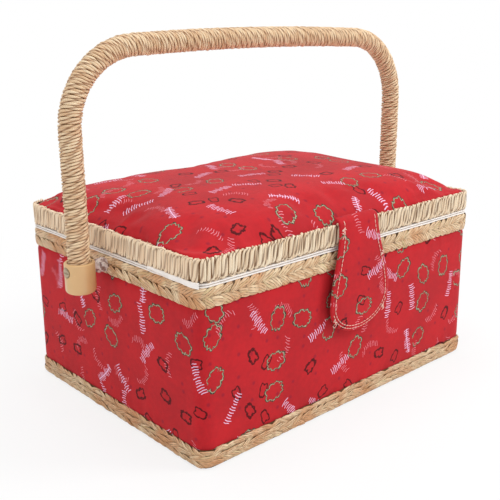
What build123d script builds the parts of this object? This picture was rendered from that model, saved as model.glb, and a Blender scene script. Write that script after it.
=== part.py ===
from build123d import *
from math import atan, cos, degrees, radians, sin, sqrt
import os

# A fabric-covered sewing basket: a padded board box with straw braid round its foot and top edge,
# a domed padded lid whose rim is wound with cord, a fabric closing flap, a lift-out tray and a
# cord-wound carrying handle that swings on a screw post at each end.
# Millimetres. X runs along the front, -Y is the front, +Z is up, Z = 0 is the floor.

# ---- Driving dimensions ----
BASKET_LENGTH = 310.0  # over the top braid and the lid rim, left to right
BASKET_DEPTH = 229.0  # over the same, front to back
CORNER_RADIUS = 10.5  # outer corners in plan
INNER_CORNER_RADIUS = 3.0  # smallest corner of the inner layers
WALL_HEIGHT = 132.1  # floor to the top of the wall boards

# layers of the wall, from the outside in
TOP_BRAID_THICKNESS = 3.5
COVER_SKIN = 1.0  # cover cloth where the braids lie on it
WALL_BOARD = 2.0
LINER_BOARD = 1.8
LINING_CLOTH = 1.0

# the box
TOP_BRAID_HEIGHT = 14.8
BASE_BRAID_HEIGHT = 14.1
BASE_BRAID_PROUD = 1.2  # how far the base braid stands outside the top braid
BRAID_EDGE_ROUND = 1.4
COVER_INSET_TOP = 2.0  # padded cover, inside the braid line, under the top braid
COVER_INSET_FOOT = 0.7  # the same, above the base braid
COVER_CHAMFER = 0.9
BRAID_SEAM = 0.15  # line between the padded cover and each braid
BASE_COVER = 0.8
BASE_BOARD = 2.5
FLOOR_CLOTH = 0.8
LINER_PROUD = 1.5  # liner board above the wall boards, just inside the lid's tape
EDGING_THICKNESS = 1.55
EDGING_INSET = 0.9
EDGING_CHAMFER = 0.5
LEDGE_WIDTH = 5.0
LEDGE_HEIGHT = 6.0
LEDGE_DROP = 22.1  # below the top of the wall boards
LEDGE_CHAMFER = 3.0

# the lid
LID_GAP = 0.3  # closed lid above the box
RIM_HEIGHT = 16.8
RIM_WIDTH = 4.2
RIM_CORD = 1.5  # thickness of the cord wound round the rim board
RIM_ROUND = 1.9
LID_BOARD = 2.5
LID_BOARD_SINK = 4.8  # top of the lid board below the top of the rim
COVER_START = 1.9  # where the crown leaves the rim, below the top of the rim
CROWN_HEIGHT = 23.7
CROWN_POWER = 3.66  # how square the crown is in plan and in section
CROWN_SHOULDER = 0.52  # how full its shoulder is
CROWN_LEVELS = (0.0, 0.3, 0.55, 0.75, 0.9, 0.985)  # shares of the crown's height
LID_CLOTH = 1.0
SOFT_GAP = 0.2
LID_LINING = 1.4
LID_SKIRT = 1.0
PINCUSHION_LENGTH = 84.0
PINCUSHION_DEPTH = 56.0
PINCUSHION_THICKNESS = 5.5
PINCUSHION_MARGIN = 30.0  # from the rim's right end
POCKET_LENGTH = 150.0
POCKET_DEPTH = 92.0
POCKET_THICKNESS = 3.0
POCKET_MARGIN = 28.0  # from the rim's left end
PATCH_CHAMFER = 1.8

# the cloth hinge along the back
HINGE_LENGTH = 250.0
HINGE_CLOTH = 0.5
HINGE_LEAF = 5.5
HINGE_FOLD_GAP = 0.25

# the closing flap
FLAP_TOP_HALF = 21.5
FLAP_WAIST_HALF = 27.9
FLAP_WAIST_DROP = 31.5
FLAP_HALF = 34.0
FLAP_WIDEST_DROP = 62.0  # widest level, below the top of the rim
FLAP_TIP_DROP = 88.4
FLAP_THICKNESS = 3.4
FLAP_ROOT_THICKNESS = 2.4
FLAP_STANDOFF = 0.6  # flap in front of the rim
FLAP_BOW = 2.4  # how far the flap bows off the wall
FLAP_HINGE_GAP = 0.6
FLAP_PIVOT_OUT = 0.4
SNAP_DIAMETER = 14.0
SNAP_THICKNESS = 1.0
SNAP_FROM_TIP = 17.0
SNAP_SEAT = 0.1
SNAP_CHAMFER = 0.4

# the handle
HANDLE_Y = -3.0
PIVOT_DROP = 6.8  # below the top of the wall boards
HANDLE_RISE = 156.6  # pivot to the bar, on the centre line
HANDLE_CROWN = 2.6
HANDLE_CORNER_RADIUS = 57.6
CORE_DIAMETER = 13.0
WINDING_DIAMETER = 17.0
WINDING_IN_FERRULE = 2.4
FERRULE_DIAMETER = 22.5
FERRULE_HEIGHT = 23.0
FERRULE_ABOVE_PIVOT = 6.1
FERRULE_FLOOR = 3.0
FERRULE_FOOT_ROUND = 3.2
FERRULE_LIP_CHAMFER = 0.6
FERRULE_MOUTH_GAP = 0.4
FERRULE_TO_BRAID = 9.9

# the pivots
POST_DIAMETER = 5.0
POST_RUNNING_GAP = 0.08
POST_HEAD_DIAMETER = 12.0
POST_HEAD = 1.3
POST_HOLE_GAP = 0.4
SPACER_DIAMETER = 10.5
SPACER_SEAT = 1.2  # depth of the flat faces cut into each ferrule
SPACER_END_GAP = 0.15
SCREW_DIAMETER = 3.5
SCREW_LENGTH = 12.0
SCREW_HEAD_DIAMETER = 7.4
SCREW_HEAD = 1.6
SCREW_HEAD_CHAMFER = 0.7
SCREW_SLOT_WIDTH = 1.2
SCREW_SLOT_DEPTH = 0.6

# the lift-out tray
TRAY_FLANGE = 2.0
TRAY_FLANGE_GAP = 0.6
TRAY_TUB_GAP = 1.0
TRAY_DEPTH = 30.0  # below the flange
TRAY_WALL = 1.8
TRAY_CORNER = 8.0
TRAY_DRAFT = 2.0  # degrees
TRAY_LONG_CELL = 52.0
TRAY_COLUMNS = 3
TRAY_ROWS = 2
CELL_CORNER = 6.0
CELL_FLOOR_CHAMFER = 2.5
SCOOP_RADIUS = 24.0
SCOOP_DEPTH = 9.0

# ---- Worked-out places ----
SKIN_INSET = TOP_BRAID_THICKNESS
BOARD_INSET = SKIN_INSET + COVER_SKIN
LINER_INSET = BOARD_INSET + WALL_BOARD
LINING_INSET = LINER_INSET + LINER_BOARD
ROOM_INSET = LINING_INSET + LINING_CLOTH
LEDGE_INSET = ROOM_INSET + LEDGE_WIDTH

BASE_BOARD_TOP = BASE_COVER + BASE_BOARD
FLOOR_Z = BASE_BOARD_TOP + FLOOR_CLOTH
LEDGE_TOP = WALL_HEIGHT - LEDGE_DROP
PIVOT_Z = WALL_HEIGHT - PIVOT_DROP
TOP_BRAID_Z = WALL_HEIGHT - TOP_BRAID_HEIGHT
LINING_TOP = WALL_HEIGHT + LINER_PROUD + FLOOR_CLOTH

BOX_TOP = WALL_HEIGHT + EDGING_THICKNESS
LID_UNDERSIDE = BOX_TOP + LID_GAP
RIM_Z = LID_UNDERSIDE + EDGING_THICKNESS
RIM_TOP = RIM_Z + RIM_HEIGHT
LID_BOARD_TOP = RIM_TOP - LID_BOARD_SINK
LID_LINING_Z = LID_BOARD_TOP - LID_BOARD - LID_LINING
HINGE_Y = BASKET_DEPTH / 2
HINGE_Z = BOX_TOP + LID_GAP / 2

FLAP_INNER_Y = -BASKET_DEPTH / 2 - FLAP_STANDOFF
FLAP_TIP_Z = RIM_TOP - FLAP_TIP_DROP
SNAP_Z = FLAP_TIP_Z + SNAP_FROM_TIP

HANDLE_X = BASKET_LENGTH / 2 + FERRULE_TO_BRAID + FERRULE_DIAMETER / 2
FERRULE_TOP = PIVOT_Z + FERRULE_ABOVE_PIVOT
FERRULE_Z = FERRULE_TOP - FERRULE_HEIGHT
CORE_FOOT_Z = FERRULE_Z + FERRULE_FLOOR
FERRULE_SEAT = FERRULE_DIAMETER / 2 - SPACER_SEAT

TRAY_Z = LEDGE_TOP - TRAY_DEPTH
TRAY_TOP = LEDGE_TOP + TRAY_FLANGE


# ---- Shared shapes ----
def corner_radius(inset):
    """Plan corner of a layer that lies `inset` inside the rim line."""
    return max(CORNER_RADIUS - inset, INNER_CORNER_RADIUS)


def outline(inset, z, radius=None):
    """Rounded rectangle `inset` inside the rim line, at height z."""
    size_x = BASKET_LENGTH - 2 * inset
    size_y = BASKET_DEPTH - 2 * inset
    return Plane.XY.offset(z) * RectangleRounded(size_x, size_y, radius or corner_radius(inset))


def slab(inset, z_low, z_high, radius=None):
    """Flat sheet that fills the rounded rectangle between two heights."""
    return extrude(outline(inset, z_low, radius), z_high - z_low)


def ring(outer_inset, inner_inset, z_low, z_high):
    """Upright band that runs round the basket."""
    return slab(outer_inset, z_low, z_high) - slab(inner_inset, z_low, z_high)


def outer_edges(part, z):
    """The edges of a ring's outer wall at one height."""
    level = part.edges().filter_by(lambda edge: abs(edge.center().Z - z) < 0.01)
    return level.filter_by(lambda edge: on_outer_wall(part, edge))


def on_outer_wall(part, edge):
    """True where an edge lies on the box that bounds the part, or on a corner between two sides."""
    reach = part.bounding_box().max
    middle = edge.position_at(0.5)
    side = max(abs(middle.X) - reach.X, abs(middle.Y) - reach.Y)
    return side > -0.01 or is_outer_corner(reach, edge)


def is_outer_corner(reach, edge):
    """True where a corner arc's ends reach the two outer sides."""
    ends = (edge.position_at(0), edge.position_at(1))
    on_side = any(abs(abs(end.X) - reach.X) < 0.01 for end in ends)
    on_front = any(abs(abs(end.Y) - reach.Y) < 0.01 for end in ends)
    return on_side and on_front


def x_rod(diameter, x_low, x_high):
    """Round bar along X on the handle's pivot line."""
    middle = ((x_low + x_high) / 2, HANDLE_Y, PIVOT_Z)
    return Pos(*middle) * Rot(0, 90, 0) * Cylinder(diameter / 2, abs(x_high - x_low))


def both_ends(part):
    """The part and its twin at the other end of the basket."""
    return [part, mirror(part, about=Plane.YZ)]


# ---- The box ----
def base_cover():
    return slab(SKIN_INSET, 0, BASE_COVER)


def base_board():
    return slab(LINER_INSET, BASE_COVER, BASE_BOARD_TOP)


def post_holes(diameter):
    """Bars that cut the pivot holes through both end walls."""
    reach = BASKET_LENGTH / 2 + BASE_BRAID_PROUD
    hole = x_rod(diameter, reach - ROOM_INSET * 2, reach)
    return both_ends(hole)


def wall_board():
    return ring(BOARD_INSET, LINER_INSET, BASE_COVER, WALL_HEIGHT) - post_holes(POST_DIAMETER)


def inner_liner():
    board = ring(LINER_INSET, LINING_INSET, BASE_BOARD_TOP, WALL_HEIGHT + LINER_PROUD)
    return board - post_holes(POST_DIAMETER)


def lining():
    """Cloth over the floor and the liner board, turned over the board's top edge."""
    tub = slab(LINING_INSET, FLOOR_Z - FLOOR_CLOTH, LINING_TOP) - slab(ROOM_INSET, FLOOR_Z, LINING_TOP)
    turn_over = ring(LINER_INSET, LINING_INSET, WALL_HEIGHT + LINER_PROUD, LINING_TOP)
    return tub + turn_over - post_holes(POST_HEAD_DIAMETER + 2 * POST_HOLE_GAP)


def outer_cover():
    """Cloth over the wall board, padded between the two braids and a little fuller at its foot."""
    skin = ring(SKIN_INSET, BOARD_INSET, BASE_COVER, WALL_HEIGHT)
    low = BASE_BRAID_HEIGHT + BRAID_SEAM
    high = TOP_BRAID_Z - BRAID_SEAM
    lean = degrees(atan((COVER_INSET_TOP - COVER_INSET_FOOT) / (high - low)))
    padding = extrude(outline(COVER_INSET_FOOT, low), high - low, taper=lean)
    edges = padding.edges().group_by(Axis.Z)
    padding = chamfer(edges[0] + edges[-1], COVER_CHAMFER)
    return skin + (padding - slab(BOARD_INSET, low, high)) - post_holes(POST_DIAMETER)


def base_braid():
    braid = ring(-BASE_BRAID_PROUD, SKIN_INSET, 0, BASE_BRAID_HEIGHT)
    return fillet(outer_edges(braid, 0) + outer_edges(braid, BASE_BRAID_HEIGHT), BRAID_EDGE_ROUND)


def top_braid():
    """Plaited band round the top edge, opened round each handle spacer."""
    braid = ring(0, TOP_BRAID_THICKNESS, TOP_BRAID_Z, WALL_HEIGHT)
    braid = fillet(outer_edges(braid, TOP_BRAID_Z) + outer_edges(braid, WALL_HEIGHT), BRAID_EDGE_ROUND)
    return braid - post_holes(SPACER_DIAMETER + 2 * POST_HOLE_GAP)


def edging(z_low, open_edge_z):
    """Folded tape along an edge of the box or of the lid, eased where the two tapes meet."""
    tape = ring(EDGING_INSET, LINER_INSET, z_low, z_low + EDGING_THICKNESS)
    return chamfer(outer_edges(tape, open_edge_z), EDGING_CHAMFER)


def hinge_bar(y_low, y_high, z_low, z_high):
    """Strip of cloth along the back edge."""
    middle = (0, (y_low + y_high) / 2, (z_low + z_high) / 2)
    return Pos(*middle) * Box(HINGE_LENGTH, y_high - y_low, z_high - z_low)


def body_edging():
    tape = edging(WALL_HEIGHT, BOX_TOP)
    return tape - hinge_bar(0, BASKET_DEPTH, BOX_TOP - HINGE_CLOTH, BOX_TOP)


def hinge_cloth_lower():
    """Lower leaf of the cloth hinge and the fold that the lid turns on."""
    leaf = hinge_bar(HINGE_Y - HINGE_LEAF, HINGE_Y, BOX_TOP - HINGE_CLOTH, BOX_TOP)
    fold_radius = HINGE_CLOTH + LID_GAP / 2
    fold = Pos(0, HINGE_Y, HINGE_Z) * Rot(0, 90, 0) * Cylinder(fold_radius, HINGE_LENGTH)
    return leaf + fold


def tray_ledge():
    """Strip round the inside of the wall that carries the tray's flange."""
    rail = ring(ROOM_INSET, LEDGE_INSET, LEDGE_TOP - LEDGE_HEIGHT, LEDGE_TOP)
    lean = degrees(atan(LEDGE_CHAMFER / LEDGE_HEIGHT))
    opening = outline(LEDGE_INSET - LEDGE_CHAMFER, LEDGE_TOP - LEDGE_HEIGHT)
    return rail - extrude(opening, LEDGE_HEIGHT, taper=lean)


# ---- The pivots ----
def pivot_posts():
    """Barrel of each pivot, with a thin head that bears on the liner board inside."""
    seat_x = BASKET_LENGTH / 2 - LINING_INSET
    end_x = HANDLE_X + FERRULE_SEAT + SPACER_END_GAP
    post = x_rod(POST_DIAMETER, seat_x, end_x) + x_rod(POST_HEAD_DIAMETER, seat_x - POST_HEAD, seat_x)
    return both_ends(post - x_rod(SCREW_DIAMETER, end_x - SCREW_LENGTH, end_x))


def pivot_spacers():
    """Plastic sleeve that holds each ferrule off the wall."""
    low = BASKET_LENGTH / 2 - SKIN_INSET
    high = HANDLE_X - FERRULE_SEAT - SPACER_END_GAP
    return both_ends(x_rod(SPACER_DIAMETER, low, high) - x_rod(POST_DIAMETER, low, high))


def pivot_screws():
    """Slotted screw in the outer end of each post."""
    seat_x = HANDLE_X + FERRULE_SEAT + SPACER_END_GAP
    head = x_rod(SCREW_HEAD_DIAMETER, seat_x, seat_x + SCREW_HEAD)
    head = chamfer(head.edges().group_by(Axis.X)[-1], SCREW_HEAD_CHAMFER)
    slot = Pos(seat_x + SCREW_HEAD, HANDLE_Y, PIVOT_Z) * Box(
        2 * SCREW_SLOT_DEPTH, SCREW_HEAD_DIAMETER, SCREW_SLOT_WIDTH
    )
    return both_ends(head - slot + x_rod(SCREW_DIAMETER, seat_x - SCREW_LENGTH, seat_x))


# ---- The lid ----
def lid_rim_core():
    return ring(RIM_CORD, RIM_WIDTH, RIM_Z + RIM_CORD, RIM_TOP - RIM_CORD)


def lid_rim_winding():
    """Cord wound over the rim board, open towards the lid's inside."""
    band = ring(0, RIM_WIDTH, RIM_Z, RIM_TOP)
    band = fillet(outer_edges(band, RIM_Z) + outer_edges(band, RIM_TOP), RIM_ROUND)
    return band - ring(RIM_CORD, RIM_WIDTH, RIM_Z + RIM_CORD, RIM_TOP - RIM_CORD)


def lid_board():
    return slab(RIM_WIDTH, LID_BOARD_TOP - LID_BOARD, LID_BOARD_TOP)


def crown_outline(level, inset, height):
    """Level line of the domed lid, fuller along the sides than across the corners."""
    along = (1 - level ** (1 / CROWN_SHOULDER)) ** (1 / CROWN_POWER)
    across = (1 - level ** (0.5 / CROWN_SHOULDER)) ** (1 / CROWN_POWER)
    half_x = (BASKET_LENGTH / 2 - inset) * along
    half_y = (BASKET_DEPTH / 2 - inset) * along
    shrink = (along - across) * BASKET_DEPTH / 2
    radius = corner_radius(inset) * along + shrink / (1 - sqrt(0.5))
    top = RIM_TOP - COVER_START
    return Plane.XY.offset(top + level * height) * RectangleRounded(2 * half_x, 2 * half_y, radius)


def crown(layer):
    """Domed block on the lid board, `layer` inside the lid's cover cloth."""
    inset = RIM_WIDTH + SOFT_GAP + layer
    height = CROWN_HEIGHT - layer
    dome = loft([crown_outline(level, inset, height) for level in CROWN_LEVELS])
    return slab(inset, LID_BOARD_TOP, RIM_TOP - COVER_START) + dome


def lid_pad():
    return crown(LID_CLOTH + SOFT_GAP)


def lid_cover():
    return crown(0) - crown(LID_CLOTH)


def lid_lining():
    """Cloth under the lid board and down the inside of the rim."""
    panel = slab(RIM_WIDTH, LID_LINING_Z, LID_LINING_Z + LID_LINING)
    return panel + ring(RIM_WIDTH, RIM_WIDTH + LID_SKIRT, RIM_Z, LID_LINING_Z)


def lid_edging():
    tape = edging(LID_UNDERSIDE, LID_UNDERSIDE)
    return tape - hinge_bar(0, BASKET_DEPTH, LID_UNDERSIDE, LID_UNDERSIDE + HINGE_CLOTH)


def hinge_cloth_upper():
    """Upper leaf of the cloth hinge, clear of the fold."""
    fold_edge = HINGE_Y - HINGE_CLOTH - LID_GAP / 2 - HINGE_FOLD_GAP
    return hinge_bar(HINGE_Y - HINGE_LEAF, fold_edge, LID_UNDERSIDE, LID_UNDERSIDE + HINGE_CLOTH)


def soft_block(length, depth, thickness, x, corner):
    """Padded patch sewn under the lid, eased where it faces the tray."""
    sketch = Plane.XY.offset(LID_LINING_Z - thickness) * Pos(x, 0) * RectangleRounded(length, depth, corner)
    block = extrude(sketch, thickness)
    return chamfer(block.edges().group_by(Axis.Z)[0], PATCH_CHAMFER)


def lid_pincushion():
    x = BASKET_LENGTH / 2 - PINCUSHION_MARGIN - PINCUSHION_LENGTH / 2
    return soft_block(PINCUSHION_LENGTH, PINCUSHION_DEPTH, PINCUSHION_THICKNESS, x, PINCUSHION_DEPTH / 3)


def lid_pocket():
    x = -BASKET_LENGTH / 2 + POCKET_MARGIN + POCKET_LENGTH / 2
    return soft_block(POCKET_LENGTH, POCKET_DEPTH, POCKET_THICKNESS, x, CORNER_RADIUS)


# ---- The closing flap ----
def flap_root():
    """End of the flap, sewn in between the lid's cover and its rim, and laid over the rim."""
    y_low = -BASKET_DEPTH / 2 - FLAP_PIVOT_OUT / 2
    y_high = -BASKET_DEPTH / 2 + RIM_WIDTH
    middle = (0, (y_low + y_high) / 2, RIM_TOP + FLAP_ROOT_THICKNESS / 2)
    return Pos(*middle) * Box(2 * FLAP_TOP_HALF, y_high - y_low, FLAP_ROOT_THICKNESS)


def flap_outline():
    """Tongue shape, narrow over the rim, widest near its round end."""
    widest_z = RIM_TOP - FLAP_WIDEST_DROP
    waist = (FLAP_WAIST_HALF, RIM_TOP - FLAP_WAIST_DROP)
    top = (FLAP_TOP_HALF, RIM_TOP - FLAP_HINGE_GAP)
    side = Spline(top, waist, (FLAP_HALF, widest_z), tangents=((0.1, -1), (0, -1)))
    tip_depth = FLAP_TIP_DROP - FLAP_WIDEST_DROP
    tip = EllipticalCenterArc((0, widest_z), FLAP_HALF, tip_depth, start_angle=180, arc_size=180)
    return make_face([side, tip, mirror(side, about=Plane.YZ), Line(top, (-top[0], top[1]))])


def flap_strap():
    """Padded tongue that hangs in front of the wall, bowed a little off it."""
    top_z = RIM_TOP - FLAP_HINGE_GAP
    middle_z = (top_z + FLAP_TIP_Z) / 2
    inner = ThreePointArc(
        (FLAP_INNER_Y, top_z), (FLAP_INNER_Y - FLAP_BOW, middle_z), (FLAP_INNER_Y, FLAP_TIP_Z)
    )
    outer = Pos(-FLAP_THICKNESS, 0) * inner
    ends = [Line(inner @ 0, outer @ 0), Line(inner @ 1, outer @ 1)]
    sheet = extrude(Plane.YZ * make_face([inner, outer] + ends), FLAP_HALF * 2, both=True)
    start = BASKET_DEPTH / 2
    return sheet & extrude(Plane.XZ.offset(start) * flap_outline(), FLAP_THICKNESS * 4)


def snap_disc(back_y, front_y):
    """Half of the magnetic fastener, with its free edge eased."""
    middle = (0, (back_y + front_y) / 2, SNAP_Z)
    disc = Pos(*middle) * Rot(90, 0, 0) * Cylinder(SNAP_DIAMETER / 2, abs(front_y - back_y))
    rims = disc.edges().filter_by(lambda edge: abs(edge.center().Y - front_y) < 0.01)
    return chamfer(rims, SNAP_CHAMFER)


def snap_wall():
    """Half on the front wall, seated on the padded cover."""
    share = (SNAP_Z - BASE_BRAID_HEIGHT) / (TOP_BRAID_Z - BASE_BRAID_HEIGHT)
    inset = COVER_INSET_FOOT + (COVER_INSET_TOP - COVER_INSET_FOOT) * share
    cover_y = -BASKET_DEPTH / 2 + inset - SNAP_SEAT
    return snap_disc(cover_y, cover_y - SNAP_THICKNESS)


def snap_flap():
    """Half on the inside of the flap, over the one on the wall."""
    half_length = (RIM_TOP - FLAP_HINGE_GAP - FLAP_TIP_Z) / 2
    lower_edge = SNAP_FROM_TIP - SNAP_DIAMETER / 2
    from_middle = (lower_edge - half_length) / half_length
    flap_y = FLAP_INNER_Y - FLAP_BOW * (1 - from_middle**2) + SNAP_SEAT
    return snap_disc(flap_y, flap_y + SNAP_THICKNESS)


# ---- The handle ----
def handle_line(foot_z):
    """Centre line of the handle: two upright legs, two round corners and a slightly arched bar."""
    straight = HANDLE_X - HANDLE_CORNER_RADIUS
    slope = 2 * atan(HANDLE_CROWN / straight)
    bar_half = HANDLE_X - HANDLE_CORNER_RADIUS * (1 - sin(slope))
    bar_end_z = PIVOT_Z + HANDLE_RISE
    shoulder_z = bar_end_z - HANDLE_CORNER_RADIUS * cos(slope)
    leg = Line((HANDLE_X, foot_z), (HANDLE_X, shoulder_z))
    turn = 90 - degrees(slope)
    corner = JernArc(leg @ 1, leg % 1, HANDLE_CORNER_RADIUS, turn)
    bar = JernArc(corner @ 1, corner % 1, bar_half / sin(slope), 2 * degrees(slope))
    other_corner = JernArc(bar @ 1, bar % 1, HANDLE_CORNER_RADIUS, turn)
    other_leg = Line(other_corner @ 1, (-HANDLE_X, foot_z))
    return Plane.XZ.offset(-HANDLE_Y) * Wire([leg, corner, bar, other_corner, other_leg])


def handle_bar(diameter, foot_z):
    """Round bar that follows the handle's centre line."""
    section = Plane.XY.offset(foot_z) * Pos(HANDLE_X, HANDLE_Y) * Circle(diameter / 2)
    return sweep(section, handle_line(foot_z))


def handle_core():
    """Bent cane inside the winding, drilled for the posts."""
    return handle_bar(CORE_DIAMETER, CORE_FOOT_Z) - post_clearance()


def handle_winding():
    """Cord wound over the cane from one ferrule to the other."""
    foot_z = FERRULE_TOP - WINDING_IN_FERRULE
    return handle_bar(WINDING_DIAMETER, foot_z) - handle_bar(CORE_DIAMETER, foot_z)


def post_clearance():
    """Bars that cut the running holes for both posts."""
    reach = FERRULE_DIAMETER / 2
    return both_ends(x_rod(POST_DIAMETER + 2 * POST_RUNNING_GAP, HANDLE_X - reach, HANDLE_X + reach))


def handle_ferrule():
    """Moulded socket at the end of a leg, with a flat seat for the spacer and for the screw."""
    centre = Pos(HANDLE_X, HANDLE_Y, FERRULE_Z + FERRULE_HEIGHT / 2)
    body = centre * Cylinder(FERRULE_DIAMETER / 2, FERRULE_HEIGHT)
    body = fillet(body.edges().group_by(Axis.Z)[0], FERRULE_FOOT_ROUND)
    body = chamfer(body.edges().group_by(Axis.Z)[-1], FERRULE_LIP_CHAMFER)
    foot = Plane.XY.offset(CORE_FOOT_Z) * Pos(HANDLE_X, HANDLE_Y)
    mouth = Plane.XY.offset(FERRULE_TOP - WINDING_IN_FERRULE) * Pos(HANDLE_X, HANDLE_Y)
    body -= extrude(foot * Circle(CORE_DIAMETER / 2), FERRULE_HEIGHT)
    body -= extrude(mouth * Circle(WINDING_DIAMETER / 2 + FERRULE_MOUTH_GAP), FERRULE_HEIGHT)
    seat = FERRULE_SEAT
    reach = FERRULE_DIAMETER / 2
    body -= x_rod(SPACER_DIAMETER + 2 * POST_HOLE_GAP, HANDLE_X - reach, HANDLE_X - seat)
    body -= x_rod(SCREW_HEAD_DIAMETER + 2 * POST_HOLE_GAP, HANDLE_X + seat, HANDLE_X + reach)
    return body - post_clearance()


# ---- The tray ----
def tray_cell(x_low, x_high, y_low, y_high):
    """Drafted pocket of the tray, sloped where its walls meet its floor."""
    size = (x_high - x_low, y_high - y_low)
    place = Pos((x_low + x_high) / 2, (y_low + y_high) / 2)
    mouth = Plane.XY.offset(TRAY_TOP) * place * RectangleRounded(*size, CELL_CORNER)
    depth = TRAY_TOP - TRAY_Z - TRAY_WALL
    cell = extrude(mouth, -depth, taper=TRAY_DRAFT)
    return chamfer(cell.edges().group_by(Axis.Z)[0], CELL_FLOOR_CHAMFER)


def split(low, high, count):
    """Equal spans between two walls, with one divider between neighbours."""
    span = (high - low - (count - 1) * TRAY_WALL) / count
    return [(low + i * (span + TRAY_WALL), low + i * (span + TRAY_WALL) + span) for i in range(count)]


def sewing_tray():
    """Moulded tray: a long cell for scissors and a grid of smaller ones, with a finger scoop at each end."""
    tub_inset = LEDGE_INSET + TRAY_TUB_GAP
    flange = slab(ROOM_INSET + TRAY_FLANGE_GAP, LEDGE_TOP, TRAY_TOP, TRAY_CORNER)
    tub = extrude(outline(tub_inset, LEDGE_TOP, TRAY_CORNER), -TRAY_DEPTH, taper=TRAY_DRAFT)
    reach_x = BASKET_LENGTH / 2 - tub_inset - TRAY_WALL
    reach_y = BASKET_DEPTH / 2 - tub_inset - TRAY_WALL
    grid_x = -reach_x + TRAY_LONG_CELL + TRAY_WALL
    tray = flange + tub - tray_cell(-reach_x, grid_x - TRAY_WALL, -reach_y, reach_y)
    for x_low, x_high in split(grid_x, reach_x, TRAY_COLUMNS):
        for y_low, y_high in split(-reach_y, reach_y, TRAY_ROWS):
            tray -= tray_cell(x_low, x_high, y_low, y_high)
    wall_x = BASKET_LENGTH / 2 - tub_inset
    scoop = Pos(wall_x, 0, TRAY_TOP + SCOOP_RADIUS - SCOOP_DEPTH) * Rot(0, 90, 0)
    scoop = scoop * Cylinder(SCOOP_RADIUS, 2 * (TRAY_WALL + TRAY_TUB_GAP + LEDGE_WIDTH))
    return tray - both_ends(scoop)


# ---- Write one file for each piece ----
ferrule = handle_ferrule()
PIECES = {
    "base_cover": base_cover(),
    "base_board": base_board(),
    "wall_board": wall_board(),
    "inner_liner": inner_liner(),
    "outer_cover": outer_cover(),
    "lining": lining(),
    "base_braid": base_braid(),
    "top_braid": top_braid(),
    "body_edging": body_edging(),
    "tray_ledge": tray_ledge(),
    "hinge_cloth_lower": hinge_cloth_lower(),
    "pivot_posts": pivot_posts(),
    "pivot_spacers": pivot_spacers(),
    "pivot_screws": pivot_screws(),
    "snap_wall": snap_wall(),
    "lid_rim_core": lid_rim_core(),
    "lid_rim_winding": lid_rim_winding(),
    "lid_board": lid_board(),
    "lid_pad": lid_pad(),
    "lid_cover": lid_cover(),
    "lid_lining": lid_lining(),
    "lid_edging": lid_edging(),
    "lid_pincushion": lid_pincushion(),
    "lid_pocket": lid_pocket(),
    "hinge_cloth_upper": hinge_cloth_upper(),
    "flap_root": flap_root(),
    "flap_strap": flap_strap(),
    "snap_flap": snap_flap(),
    "handle_core": handle_core(),
    "handle_winding": handle_winding(),
    "ferrule_right": ferrule,
    "ferrule_left": mirror(ferrule, about=Plane.YZ),
    "sewing_tray": sewing_tray(),
}

os.makedirs("parts", exist_ok=True)
for node, shape in PIECES.items():
    solid = Compound(shape) if isinstance(shape, list) else shape
    export_step(solid, f"parts/{node}.step")
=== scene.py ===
"""A fabric-covered sewing basket: printed cotton over padded board, cord-wound lid rim, straw
braids, a stitched closing flap, a cord-wound handle, and a lined inside with a lift-out tray."""
from math import atan2, cos, degrees, pi, radians, sin, tan

import bpy
import numpy as np
from mathutils import Euler, Matrix, Vector


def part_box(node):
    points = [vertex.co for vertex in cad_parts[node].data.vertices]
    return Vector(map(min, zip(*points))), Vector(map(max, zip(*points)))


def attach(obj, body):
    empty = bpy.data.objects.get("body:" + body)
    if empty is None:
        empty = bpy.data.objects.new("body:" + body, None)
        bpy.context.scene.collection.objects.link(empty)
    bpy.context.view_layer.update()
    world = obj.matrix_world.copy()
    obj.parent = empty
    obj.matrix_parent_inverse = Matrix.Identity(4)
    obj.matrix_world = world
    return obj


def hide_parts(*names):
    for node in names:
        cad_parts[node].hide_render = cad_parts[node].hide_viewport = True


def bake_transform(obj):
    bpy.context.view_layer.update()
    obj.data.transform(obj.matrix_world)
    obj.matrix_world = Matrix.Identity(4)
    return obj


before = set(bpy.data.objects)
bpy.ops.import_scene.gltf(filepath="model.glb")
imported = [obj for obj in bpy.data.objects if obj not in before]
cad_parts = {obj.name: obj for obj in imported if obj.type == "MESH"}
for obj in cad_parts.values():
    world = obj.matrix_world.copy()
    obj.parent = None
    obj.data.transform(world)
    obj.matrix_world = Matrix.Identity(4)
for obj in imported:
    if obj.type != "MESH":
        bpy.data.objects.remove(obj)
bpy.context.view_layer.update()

MM = 0.001

# ---- Sizes read from the frame, in metres ----
RIM_LOW, RIM_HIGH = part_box("lid_rim_winding")
TOP_BRAID_LOW, TOP_BRAID_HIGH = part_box("top_braid")
BASE_BRAID_LOW, BASE_BRAID_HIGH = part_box("base_braid")
LINING_LOW, LINING_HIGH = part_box("lining")
LID_LINING_LOW, LID_LINING_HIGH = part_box("lid_lining")
WINDING_LOW, WINDING_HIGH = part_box("handle_winding")
LID_COVER_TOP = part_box("lid_cover")[1].z
FLAP_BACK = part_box("flap_strap")[1].y
FERRULE_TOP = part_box("ferrule_right")[1].z

LENGTH = RIM_HIGH.x - RIM_LOW.x
DEPTH = RIM_HIGH.y - RIM_LOW.y
RIM_CORNER = 10.5 * MM
OUTLINE = 2 * (LENGTH + DEPTH) - (8 - 2 * pi) * RIM_CORNER

rng = np.random.default_rng(7)


# ---- Working with objects ----
def pick(piece):
    """Makes one object the only selected and active one."""
    bpy.ops.object.select_all(action="DESELECT")
    piece.select_set(True)
    bpy.context.view_layer.objects.active = piece


def points_of(piece):
    found = np.zeros(len(piece.data.vertices) * 3)
    piece.data.vertices.foreach_get("co", found)
    return found.reshape(-1, 3)


def move_points(piece, places):
    piece.data.vertices.foreach_set("co", np.asarray(places, float).ravel())
    piece.data.update()


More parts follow.
